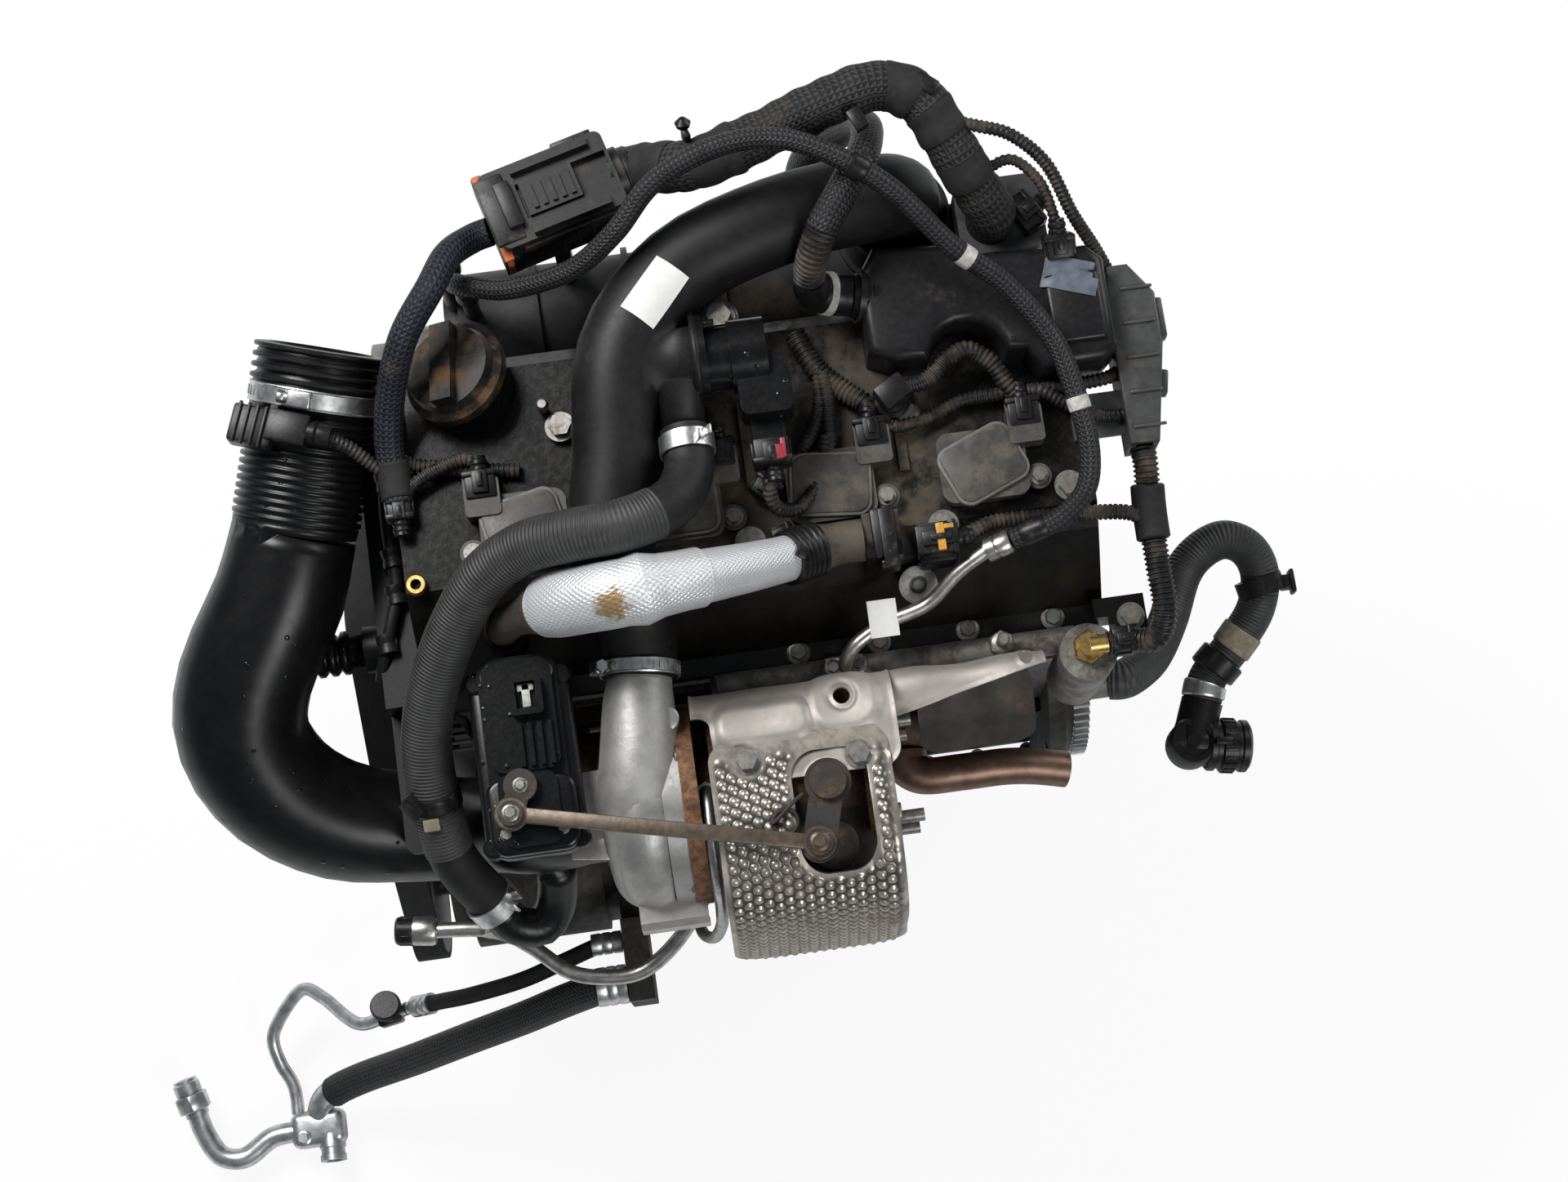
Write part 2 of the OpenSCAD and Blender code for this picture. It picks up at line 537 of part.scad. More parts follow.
module alternator() {
    r = 60;
    body_x = timing_x - 2;
    color("#9a9b9a") difference() {
        union() {
            on_x(body_x, alternator_at.x, alternator_at.y) cylinder(r = r - 8, h = 22);
            on_x(body_x + 22, alternator_at.x, alternator_at.y) cylinder(r = r, h = 60);
            on_x(body_x + 82, alternator_at.x, alternator_at.y) cylinder(r = r - 6, h = 24);
            on_x(body_x + 106, alternator_at.x, alternator_at.y) cylinder(r = 26, h = 16);
            for (z = [-42, 42])
                bar([body_x + 46, jacket_w / 2, alternator_at.y + z - 10],
                    [body_x + 74, alternator_at.x - 30, alternator_at.y + z + 10]);
        }
        on_x(body_x - 1, alternator_at.x, alternator_at.y) cylinder(r = 8 + run_gap, h = 60);
        for (a = [0:30:330])
            on_x(body_x + 98, alternator_at.x + 44 * cos(a), alternator_at.y + 44 * sin(a))
                cylinder(r = 6, h = 9);
    }
}

// A driven pulley of the belt with its shaft, at [y, z]
module driven_pulley(at, r, shaft_r, shaft_l) {
    on_x(belt_x, at.x, at.y) {
        ribbed_pulley(r, belt_w, shaft_r - 1);
        cylinder(r = shaft_r, h = belt_w + shaft_l);
    }
}

module alternator_pulley() {
    color("#4b4c4d") driven_pulley(alternator_at, alternator_pulley_r, 8, 50);
}

module ac_pulley() {
    color("#303132") driven_pulley(ac_at, ac_pulley_r, 9, 40);
}

module water_pump_pulley() {
    color("#303132") driven_pulley(pump_at, pump_pulley_r, 8, 34);
}

module tensioner_pulley() {
    color("#2a2a2b") on_x(belt_x, tension_at.x, tension_at.y)
        ribbed_pulley(tension_pulley_r, belt_w, 7 + run_gap);
}

module belt_tensioner() {
    foot = [tension_at.x + 34, tension_at.y - 34];
    arm_x = timing_x - 3;
    color("#a2a3a2") union() {
        on_x(arm_x - 8, foot.x, foot.y) cylinder(r = 18, h = 8);
        on_x(arm_x - 8, 0, 0) linear_extrude(8)
            polygon([for (c = [[foot, -1], [foot, 1], [tension_at, 1], [tension_at, -1]])
                c[0] + c[1] * 9 * unit([tension_at.y - foot.y, foot.x - tension_at.x])]);
        on_x(arm_x - 8, tension_at.x, tension_at.y) cylinder(r = 14, h = 8);
        on_x(belt_x - 2, tension_at.x, tension_at.y) cylinder(r = 7, h = arm_x - belt_x);
    }
}

module ac_compressor() {
    r = 50;
    body_x = timing_x - 2;
    color("#a5a6a4") difference() {
        union() {
            on_x(body_x, ac_at.x, ac_at.y) cylinder(r = r - 12, h = 14);
            on_x(body_x + 14, ac_at.x, ac_at.y) cylinder(r = r, h = 96);
            on_x(body_x + 110, ac_at.x, ac_at.y) cylinder(r = r - 6, h = 20);
            for (x = [30, 84]) for (z = [-30, 30])
                bar([body_x + x - 9, ac_at.x, ac_at.y + z - 9],
                    [body_x + x + 9, -skirt_w / 2, ac_at.y + z + 9]);
            bar([ac_port_x, -256, ac_at.y + 20], [ac_port_x + 18, ac_at.x, ac_at.y + 48]);
            bar([ac_port_x, -270, ac_at.y + 20], [ac_port_x + 18, -212, 250]);
        }
        on_x(body_x - 1, ac_at.x, ac_at.y) cylinder(r = 9 + run_gap, h = 60);
    }
}

plenum_y = intake_face + 44;
plenum_z = deck_z + 90;
plenum_r = 40;

module intake_manifold() {
    color("#1d1e1f") union() {
        slab(-172, 172, intake_face, intake_face + 10, port_z - 30, port_z + 30, 4);
        on_x(-170, plenum_y, plenum_z) cylinder(r = plenum_r, h = 340);
        for (x = [-180, 170]) on_x(x, plenum_y, plenum_z) cylinder(r = plenum_r - 12, h = 10);
        for (x = cylinder_x) {
            rod([x, intake_face + 1, port_z], [x, intake_face + 24, port_z], 20);
            rod([x, intake_face + 20, port_z], [x, plenum_y - 6, plenum_z - 14], 18);
        }
        for (x = [-120:60:120]) on_x(x - 2, plenum_y, plenum_z) cylinder(r = plenum_r + 4, h = 4);
        translate([114, 174, plenum_z]) cylinder(r = 37, h = 514 - plenum_z);
        translate([-160, 158, plenum_z]) cylinder(r = 5, h = 541 - plenum_z);
        rod([60, 180, 490], [60, 199.6, 490], 8);
        bar([-102, 172, plenum_z], [-92, 184, ecu_at.z - ecu_size.z / 2 - 4]);
        translate([ecu_at.x, ecu_at.y, ecu_at.z - ecu_size.z / 2 - 4]) rotate(ecu_turn)
            translate([-24, -22, 0]) cube([48, 44, 4]);
    }
}

module throttle_body() {
    color("#3b3c3d") union() {
        translate([114, 174, 514]) cylinder(r = 34, h = 34);
        slab(148, 202, 130, 178, 520, 579, 8);
        bar([138, 160, 520], [156, 176, 546]);
        slab(160, 198, 134, 174, 512, 520, 6);
    }
}

module charge_duct() {
    branch = [-26, 76, 617];
    color("#18191a") union() {
        hose(duct_route, 4, 20);
        on_x(-70, branch.y, branch.z) cylinder(r = 20, h = branch.x + 72);
        on_x(branch.x, branch.y, branch.z) cylinder(r = 26, h = 4);
        rod([-36.5, 72, 616], [-36.5, 32.5, 620.94], recirc_r - 2);
        bar([-50, 103, duct_post_at.z], [-7, 112, duct_post_at.z + 6]);
        translate(duct_post_at) cylinder(r = 11, h = 6);
        translate([114, 174, 548]) cylinder(r = duct_r + 5, h = 5);
    }
}

module recirculation_valve() {
    color("#0f1011") union() {
        on_x(-22, 76, 617) cylinder(r = 26, h = 4);
        on_x(-19, 74, 617) cylinder(r = 19, h = 16);
        on_x(-4, 74, 617) cylinder(r = 22, h = 22);
        slab(-2, 30, 34, 72, 602, 630, 6);
        slab(3, 23, 8, 36, 599, 617, 3);
        for (a = [45, 225]) on_x(-19, 76 + 22 * cos(a), 617 + 22 * sin(a)) cylinder(r = 3, h = 8);
    }
}

module recirculation_hose() {
    color("#202122") hose(recirc_route, 3, 12);
}

// A flat band clamp round a tube at p along d, with its screw housing
module band_clamp(p, d, r, w = 12) {
    along(p, d) translate([0, 0, -w / 2]) {
        difference() {
            cylinder(r = r + 1.3, h = w);
            translate([0, 0, -1]) cylinder(r = r + 0.3, h = w + 2);
        }
        translate([r + 1.2, -8, 1]) cube([7, 16, w - 2]);
    }
}

module hose_clamps() {
    color("#b9bab8") {
        band_clamp([-83.4, outlet_y + 5.5, 551.1], [1.3, 11.5, 0.3], joint_r + 3.2, 8);
        band_clamp([-36.5, 22, 622.25], [0, -24, 3], recirc_r + 0.2, 10);
        band_clamp(bellows_from - 11 * unit(bellows_dir), bellows_dir, mouth_r + 6);
    }
}

module vent_pipe() {
    color("#c3c6c8") hose(vent_route, 3, 14);
}

module breather_box() {
    color("#232425") difference() {
        union() {
            translate([0, 0, cover_z]) linear_extrude(30)
                polygon([[80, 72], [80, 120], [92, 138], [138, 134], [146, 126], [222, 122], [231, 112],
                    [231, 56], [222, 48], [184, 48], [176, 62], [96, 64]]);
            translate([0, 0, cover_z + 30]) linear_extrude(8)
                polygon([[86, 78], [86, 116], [97, 131], [134, 128], [143, 120], [218, 116], [225, 108],
                    [225, 60], [218, 54], [190, 54], [181, 68], [100, 70]]);
            slab(192, 226, 60, 104, cover_z + 38, cover_z + 41, 8);
            rod([92, 109.3, 583.3], [76, 112, 586], 15);
        }
        translate([140, 60, cover_z - 1]) cylinder(r = 24, h = 60);
    }
}

module breather_hose() {
    color("#1b1c1d") hose(breather_route, 3, 10);
}

// One ignition coil: cap, bolt ear, plug socket and the stem down its well
module ignition_coil(x, s) {
    cap_z = cover_z + 3;
    color("#4a4744") translate([x, 0, 0]) union() {
        slab(-27, 27, -23, 21, cap_z, cap_z + 9, 8);
        translate([0, 0, cover_z + 0.3 - cover_h - 20]) cylinder(r = 10, h = cover_h + 23);
        translate([s * 26, 14, 0]) slab(-8, 14, -6, 18, cap_z, cap_z + 14, 3);
        translate([s * 33, -12, cap_z]) cylinder(r = 8, h = 5);
        translate([0, 0, cover_z]) cylinder(r = 19, h = 4);
    }
}

module ignition_coil_1() { ignition_coil(cylinder_x[0], -1); }
module ignition_coil_2() { ignition_coil(cylinder_x[1], 1); }
module ignition_coil_3() { ignition_coil(cylinder_x[2], 1); }
module ignition_coil_4() { ignition_coil(cylinder_x[3], 1); }

module oil_filler_cap() {
    color("#1c1917") translate(filler_at) rotate(filler_lean) translate([0, 0, neck_h]) {
        translate([0, 0, -12]) cylinder(r = neck_r - 6 - part_gap, h = 13);
        translate([0, 0, 0.3]) rotate_extrude()
            polygon([[0, 0], [cap_r, 0], [cap_r, 6], [cap_r - 4, 9], [cap_r - 6, 15], [0, 17]]);
        translate([-7, -cap_r + 7, 10]) cube([14, 2 * cap_r - 14, 14]);
    }
}

module main_harness() {
    color("#1a1a1b") hose(trunk_route, 3, 12);
}

module harness_branches() {
    color("#1b1b1e") {
        hose(left_route, 3, 8);
        hose(middle_route, 3, 8);
        hose(right_route, 3, 8);
    }
}

module ecu_connector() {
    color("#2e2f31") translate(ecu_at) rotate(ecu_turn) difference() {
        union() {
            translate([0, 0, -ecu_size.z / 2])
                linear_extrude(ecu_size.z) rounded(ecu_size.x, ecu_size.y, 5);
            translate([-ecu_size.x / 2 - 3, -ecu_size.y / 2 - 3, -14]) cube([10, ecu_size.y + 6, 26]);
            for (y = [-1, 1]) translate([-20, y * (ecu_size.y / 2 - 5) - 3, 20]) cube([50, 6, 7]);
        }
        translate([-20, -slide_size.y / 2 - part_gap, ecu_size.z / 2 - 5])
            cube([58, slide_size.y + 2 * part_gap, 20]);
    }
}

module ecu_connector_slide() {
    color("#3c3d40") translate(ecu_at) rotate(ecu_turn)
        translate([-18, -slide_size.y / 2, ecu_size.z / 2 - 4.7]) {
        cube(slide_size);
        for (x = [4:6:28]) translate([x, 3, slide_size.z]) cube([3, slide_size.y - 6, 2]);
    }
}

module purge_hose() {
    color("#19191a") hose(purge_route, 2, 8);
}

module purge_pipe() {
    color("#a7a59f") union() {
        hose(purge_pipe_route, 2, 8);
        slab(30, 54, -111, -97, 516, 519.5, 4);
    }
}

module harness_guide() {
    color("#47463c") union() {
        difference() {
            translate([guide_x, 0, 545]) linear_extrude(28)
                polygon([[0, -2], [18.5, -2], [30.5, 60], [30.5, 92], [16.5, 112], [3.5, 112], [0, 90]]);
            translate([guide_x, 0, 549]) linear_extrude(30)
                polygon([[4.5, -3], [14.5, -3], [26.5, 60], [26.5, 90], [14.5, 107], [6.5, 107],
                    [4.5, 88]]);
        }
        bar([guide_x - 31.5, 8, cover_z], [guide_x + 3.5, 36, cover_z + 3.5]);
    }
}

module coolant_gallery() {
    gy = -104;
    color("#9c9a92") union() {
        on_x(-38, gy, 505) cylinder(r = 8.5, h = 226);
        for (x = [-30, 30, 96, 150]) bar([x - 12, gy, 470], [x + 12, -exhaust_face, 488]);
        for (x = [-30, 30, 96, 150]) bar([x - 9, gy - 4, 480], [x + 9, gy + 8, 505]);
        slab(28, 56, -112, -96, 498, 516, 6);
        translate([140, gy, 500]) cylinder(r = 7, h = 20);
        translate([193, -116, 428]) cylinder(r = 18, h = 92);
        rod([193, -122, 438], [214, -122, 438], 11);
        bar([180, -112, 470], [206, -exhaust_face, 490]);
    }
}

module coolant_sensor() {
    color("#b08d3c") translate([193, -114, 520]) {
        cylinder(r = 9, h = 9, $fn = 6);
        cylinder(r = 7, h = 14);
        translate([0, 0, 10]) rotate([0, 90, 0]) cylinder(r = 6, h = 11);
    }
}

module heater_hose() {
    color("#1e1f20") hose(heater_route, 3, 10);
}

module heater_connector() {
    color("#141516") union() {
        rod([283.2, -133.8, 369], [271.5, -161.2, 365.7], 15);
        rod([252.8, -158.2, 367.6], [301, -165.9, 362.7], 18);
        rod([293, -164.6, 363.5], [310.8, -167.5, 361.7], 14);
    }
}

module exhaust_manifold() {
    log_at = [-exhaust_face - 33, port_z];
    color("#6a5a4c") difference() {
        union() {
            translate([0, -exhaust_face, port_z]) rotate([90, 0, 0]) linear_extrude(10) rounded(320, 56, 8);
            on_x(-150, log_at.x, log_at.y) cylinder(r = 20, h = 300);
            for (x = cylinder_x) rod([x, -exhaust_face - 4, port_z], [x, log_at.x, log_at.y], 17);
            bar([-32, -180, port_z - 10], [32, log_at.x, foot_z]);
        }
        for (x = [-150, -94, 94, 150]) for (z = [-20, 20])
            translate([x, -exhaust_face - 11, port_z + z]) rotate([-90, 0, 0]) cylinder(r = 4, h = 12);
    }
}

module return_pipe() {
    color("#7a563c") hose(return_pipe_route, 3, 12);
}

// A bent sheet drawn by its lower surface as [y, z] points, from x0 to x1
module sheet(pts, t, x0, x1) {
    n = len(pts);
    normal = [for (i = [0:n - 1])
        let (d = unit(pts[min(i + 1, n - 1)] - pts[max(i - 1, 0)])) [d.y, -d.x]];
    on_x(x0, 0, 0) linear_extrude(x1 - x0)
        polygon(concat(pts, [for (i = [n - 1:-1:0]) pts[i] + t * normal[i]]));
}

module manifold_shield() {
    color("#b4aea2") difference() {
        union() {
            sheet([[-115.5, 528], [-117, 548], [-126, 562], [-142, boss_z], [-176, boss_z]],
                manifold_sheet, -57, 66);
            sheet([[-115.5, 480], [-115.5, 528], [-117, 548]], manifold_sheet, 58, 160);
            sheet([[-114.9, 503], [-124, 497], [-142, 486], [-156, 468]], manifold_sheet, 84, 158);
        }
        for (p = shield_bolts) translate([p.x, p.y, boss_z - 5]) cylinder(r = 4.2, h = 12);
        translate([35, -131, 550]) cylinder(r = 5, h = 40);
        translate([lever_pivot.x, lever_pivot.y, boss_z - 5]) cylinder(r = 13, h = 12);
    }
}

module turbine_shield() {
    top = boss_z + manifold_sheet;
    color("#a8a49b") difference() {
        sheet([[-150, top], [-205, top], [-224, top - 5], [-240, top - 16], [-252, top - 34],
            [-260, top - 62], [-266, top - 100], [-268, top - 140]], turbine_sheet, -50, 58);
        for (p = shield_bolts) translate([p.x, p.y, top - 5]) cylinder(r = 4.2, h = 12);
        translate([22, -200, top - 60]) linear_extrude(90) rounded(56, 80, 18);
    }
}

module compressor_housing() {
    mid = (compressor_x[0] + compressor_x[1]) / 2;
    color("#a9a9a5") difference() {
        union() {
            on_x(mid, -turbo_y + 1, turbo_z + 2)
                rotate_extrude() translate([volute_r - 3, 0]) circle(r = 21);
            on_x(mid - 8, -turbo_y, turbo_z) cylinder(r = volute_r, h = compressor_x[1] - mid + 8);
            on_x(compressor_x[1] - 12, -turbo_y, turbo_z) cylinder(r = volute_r + 16, h = 12);
            on_x(compressor_x[0], -turbo_y, turbo_z) cylinder(r = 32, h = 40);
            rod([mid, -turbo_y, turbo_z + volute_r], [-84, outlet_y, 551], joint_r - 0.5);
            bar([-150, -192, turbo_z + 29.5], [mid, -150, turbo_z + 33]);
        }
        on_x(compressor_x[0] - 1, -turbo_y, turbo_z) cylinder(r = compressor_wheel_r + part_gap, h = 60);
    }
}

module center_housing() {
    color("#7d4a2c") difference() {
        union() {
            on_x(compressor_x[1], -turbo_y, turbo_z) cylinder(r = volute_r + 18, h = 10);
            on_x(plate_x, -turbo_y, turbo_z) cylinder(r = 30, h = turbine_x[0] - plate_x);
            on_x(turbine_x[0] - 5, -turbo_y, turbo_z) cylinder(r = 46, h = 5);
        }
        on_x(compressor_x[1] - 1, -turbo_y, turbo_z) cylinder(r = turbo_shaft_r + run_gap, h = 60);
    }
}

module turbine_housing() {
    ring_x = -6;
    color("#6f5d4f") difference() {
        union() {
            on_x(turbine_x[0], -turbo_y, turbo_z) cylinder(r = 42, h = turbine_x[1] - turbine_x[0]);
            on_x(ring_x, -turbo_y, turbo_z) rotate_extrude() translate([36, 0]) circle(r = 25);
            on_x(turbine_x[1] - 4, -turbo_y, turbo_z) cylinder(r = stud_circle_r + 9, h = 14);
            bar([-32, -180, foot_z], [32, -151, turbo_z]);
            for (p = shield_bolts)
                translate([p.x, p.y, turbo_z + 30]) cylinder(r = 7, h = boss_z - turbo_z - 30);
            translate([lever_pivot.x, lever_pivot.y, turbo_z + 20])
                cylinder(r = 11, h = arm_z - 1 - turbo_z - 20);
        }
        on_x(turbine_x[0] - 1, -turbo_y, turbo_z) cylinder(r = turbine_wheel_r + part_gap, h = 60);
        on_x(turbine_x[0] + 50, -turbo_y, turbo_z) cylinder(r = 30, h = 60);
        translate([lever_pivot.x, lever_pivot.y, arm_z - 24]) cylinder(r = 6 + run_gap, h = 40);
        for (a = [45:90:315])
            on_x(stud_x, -turbo_y + stud_circle_r * cos(a), turbo_z + stud_circle_r * sin(a))
                cylinder(r = stud_root_r + 0.02, h = stud_root_l + 1);
    }
}

// A bladed wheel round local Z
module wheel(r, h, blades) {
    cylinder(r = r * 0.4, h = h);
    for (i = [0:blades - 1]) rotate(i * 360 / blades)
        translate([r * 0.3, -0.6, 0.5]) cube([r * 0.7 - 0.05, 1.2, h - 1]);
}

module turbo_rotor() {
    color("#c4c6c8") union() {
        on_x(compressor_x[0] + 8, -turbo_y, turbo_z)
            cylinder(r = turbo_shaft_r, h = turbine_x[0] - compressor_x[0] + 30);
        on_x(compressor_x[0] + 22, -turbo_y, turbo_z) wheel(compressor_wheel_r, 24, 10);
        on_x(turbine_x[0] + 4, -turbo_y, turbo_z) wheel(turbine_wheel_r, 22, 9);
    }
}

module wastegate_actuator() {
    color("#131415") difference() {
        union() {
            slab(-181, -133, -198, -79, turbo_z + 33, actuator_z - 6, 10);
            slab(-178, -136, -150, -82, actuator_z - 6, actuator_z, 8);
            slab(-176, -140, -195, -150, actuator_z - 6, actuator_z - 2, 8);
            translate([arm_pivot.x, arm_pivot.y, actuator_z - 8]) cylinder(r = 11, h = 8);
            slab(-162, -142, -118, -94, actuator_z, actuator_z + 10, 3);
            for (i = [0:3]) bar([-160 + 6 * i, -148, actuator_z - 3], [-157 + 6 * i, -122, actuator_z + 4]);
        }
        translate([arm_pivot.x, arm_pivot.y, actuator_z - 20]) cylinder(r = 5 + run_gap, h = 40);
        translate([-158, -114, actuator_z + 3]) cube([12, 16, 20]);
    }
}

// A link plate between two points with round ends
module link(a, b, ra, rb, w, t) {
    d = unit(b - a);
    s = [-d.y, d.x] * w / 2;
    translate(a) cylinder(r = ra, h = t);
    translate(b) cylinder(r = rb, h = t);
    linear_extrude(t) polygon([a + s, b + s, b - s, a - s]);
}

module actuator_arm() {
    color("#5b4a3c") union() {
        translate([0, 0, arm_z]) link(arm_pivot, arm_pin, 10, 9, 14, arm_t);
        translate([arm_pivot.x, arm_pivot.y, arm_z - 16]) cylinder(r = 5, h = 20);
        translate([arm_pin.x, arm_pin.y, arm_z]) cylinder(r = pin_r, h = arm_t + part_gap + rod_t + 1);
        translate([arm_pin.x, arm_pin.y, rod_z + rod_t + part_gap]) cylinder(r = pin_r + 3, h = 2.5);
    }
}

module link_rod() {
    color("#6a5140") difference() {
        translate([0, 0, rod_z]) link(arm_pin, lever_pin, 12, 12.5, 11, rod_t);
        translate([arm_pin.x, arm_pin.y, rod_z - 1]) cylinder(r = pin_r + run_gap, h = 20);
        translate([lever_pin.x, lever_pin.y, rod_z - 1]) cylinder(r = pin_r + rod_play, h = 20);
    }
}

module wastegate_lever() {
    color("#4a3b30") union() {
        translate([0, 0, arm_z]) link(lever_pivot, lever_pin, 14, 11, 20, arm_t);
        translate([lever_pivot.x, lever_pivot.y, arm_z - 20]) cylinder(r = 6, h = 24);
        translate([lever_pivot.x, lever_pivot.y, arm_z]) cylinder(r = 11, h = 9);
        translate([lever_pin.x, lever_pin.y, arm_z]) cylinder(r = pin_r, h = arm_t + part_gap + rod_t + 1);
        translate([lever_pin.x, lever_pin.y, rod_z + rod_t + part_gap]) cylinder(r = pin_r + 3.5, h = 3);
    }
}

module turbo_pipes() {
    color("#b8b5ad") {
        hose(oil_feed_route, 2, 8);
        hose(oil_line_route, 2, 8);
    }
}

spigot_at = [-44, 478];
stud_x = turbine_x[1] - 2;
spigot_x = -312.3;
spigot_l = timing_x - 10 - part_gap - spigot_x;
bellows_from = [-264, 92, 553];
bellows_to = [-285, 26, 532];
bellows_dir = bellows_to - bellows_from;
intake_route = [[-285, 26, 532, 39], [-300, -10, 520, 41], [-330, -56, 500, 42], [-338, -90, 480, 42],
    [-322, -122, 454, 41], [-290, -142, 430, 39], [-252, -150, 416, 36], [-214, -156, 413, 33],
    [-188, -160, 434, 31], [-166, -170, 468, 29], [-148, -turbo_y, 492, 28], [-134, -turbo_y, 503, 28],
    [-126, -turbo_y, turbo_z, 28], [compressor_x[0] - 0.3, -turbo_y, turbo_z, 28]];

module intake_pipe() {
    l = norm(bellows_dir);
    ribs = 13;
    step = (l - 6) / ribs;
    color("#141516") difference() {
        union() {
            along(bellows_from, bellows_dir) rotate_extrude()
                polygon(concat([[0, 0]], [for (i = [0:ribs - 1]) each
                    [[36, i * step], [40, (i + 0.3) * step], [40, (i + 0.7) * step], [36, (i + 1) * step]]],
                    [[39, l - 6], [39, l], [0, l]]));
            along(bellows_from, -bellows_dir) rotate_extrude()
                polygon([[0, 0], [mouth_r + 6, 0], [mouth_r + 6, 22], [mouth_r + 4, 24], [mouth_r + 6, 28],
                    [mouth_r + 4, 32], [mouth_r + 6, 36], [mouth_r + 3, 42], [0, 42]]);
            hose(intake_route, 3, 20);
            hose(elbow_route, 3, 10);
            on_x(spigot_x, spigot_at.x, spigot_at.y) rotate_extrude()
                polygon(concat([[0, 0]], [for (z = [0:8:spigot_l - 8]) each
                    [[11, z], [14, z + 2], [14, z + 5], [11, z + 8]]], [[11, spigot_l], [0, spigot_l]]));
        }
        along(bellows_from - 42 * unit(bellows_dir), bellows_dir)
            translate([0, 0, -1]) cylinder(r = mouth_r, h = 43 + l);
    }
}

module ac_suction_hose() {
    color("#151617") hose(suction_route, 3, 10);
}

module ac_liquid_hose() {
    color("#17181a") hose(liquid_route, 3, 8);
}

module ac_fittings() {
    color("#b9bbbb") {
        hose(liquid_tube, 2, 8);
        hose(second_tube, 3, 8);
        slab(-408, -366, -330, -302, 14, 34, 9);
        rod([-370.3, -291.1, 42.1], [-380, -294, 34], 10);
        rod([-380, -294, 34], [-386, -304, 27], 9);
        rod([-378, -320, 24], [-378, -342, 26], 10);
        rod([-478.1, -291.6, 29.1], [-482, -276, 32], 13);
        rod([-481.8, -277, 31.8], [-484.6, -265, 34], 10);
    }
}

module cover_bolts() {
    color("#5d5c58") {
        for (p = cover_bolt_at) translate([p.x, p.y, cover_z + 4]) bolt_head(6.5);
        for (i = [0:3]) translate([cylinder_x[i] + (i == 0 ? -33 : 33), -12, cover_z + 8]) bolt_head(4);
        translate(duct_post_at + [0, 0, 6]) {
            cylinder(r = 12, h = 2);
            translate([0, 0, 2]) bolt_head(7);
        }
        translate(rear_bolt_at) bolt_head(6);
        for (p = shield_bolts) translate([p.x, p.y, boss_z + manifold_sheet + turbine_sheet]) bolt_head(6);
        for (a = [45:90:315])
            on_x(stud_x, -turbo_y + stud_circle_r * cos(a), turbo_z + stud_circle_r * sin(a)) {
                cylinder(r = stud_root_r, h = stud_root_l + 1);
                translate([0, 0, stud_root_l]) cylinder(r = stud_r, h = 20);
            }
        on_x(sump_half_l, 0, 24) bolt_head(10);
    }
}

oil_pan();
engine_block();
cylinder_head();
cam_cover();
timing_cover();
crankshaft();
crank_pulley();
flexplate();
crank_bolts();
accessory_belt();
alternator();
alternator_pulley();
ac_compressor();
ac_pulley();
water_pump_pulley();
belt_tensioner();
tensioner_pulley();
intake_manifold();
throttle_body();
charge_duct();
recirculation_valve();
recirculation_hose();
hose_clamps();
vent_pipe();
breather_box();
breather_hose();
ignition_coil_1();
ignition_coil_2();
ignition_coil_3();
ignition_coil_4();
oil_filler_cap();
main_harness();
harness_branches();
ecu_connector();
ecu_connector_slide();
purge_hose();
purge_pipe();
harness_guide();
coolant_gallery();
coolant_sensor();
heater_hose();
heater_connector();
exhaust_manifold();
manifold_shield();
turbine_shield();
compressor_housing();
center_housing();
turbine_housing();
turbo_rotor();
wastegate_actuator();
actuator_arm();
link_rod();
wastegate_lever();
turbo_pipes();
return_pipe();
intake_pipe();
ac_suction_hose();
ac_liquid_hose();
ac_fittings();
cover_bolts();
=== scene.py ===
"""Dress for a turbocharged car engine: finishes for its castings, and the hoses, looms and small parts on it."""
from math import cos, pi, radians, sin

import bmesh
import bpy
from bpy.props import FloatProperty, FloatVectorProperty, IntProperty, PointerProperty
from mathutils import Matrix, Vector
from mathutils.bvhtree import BVHTree


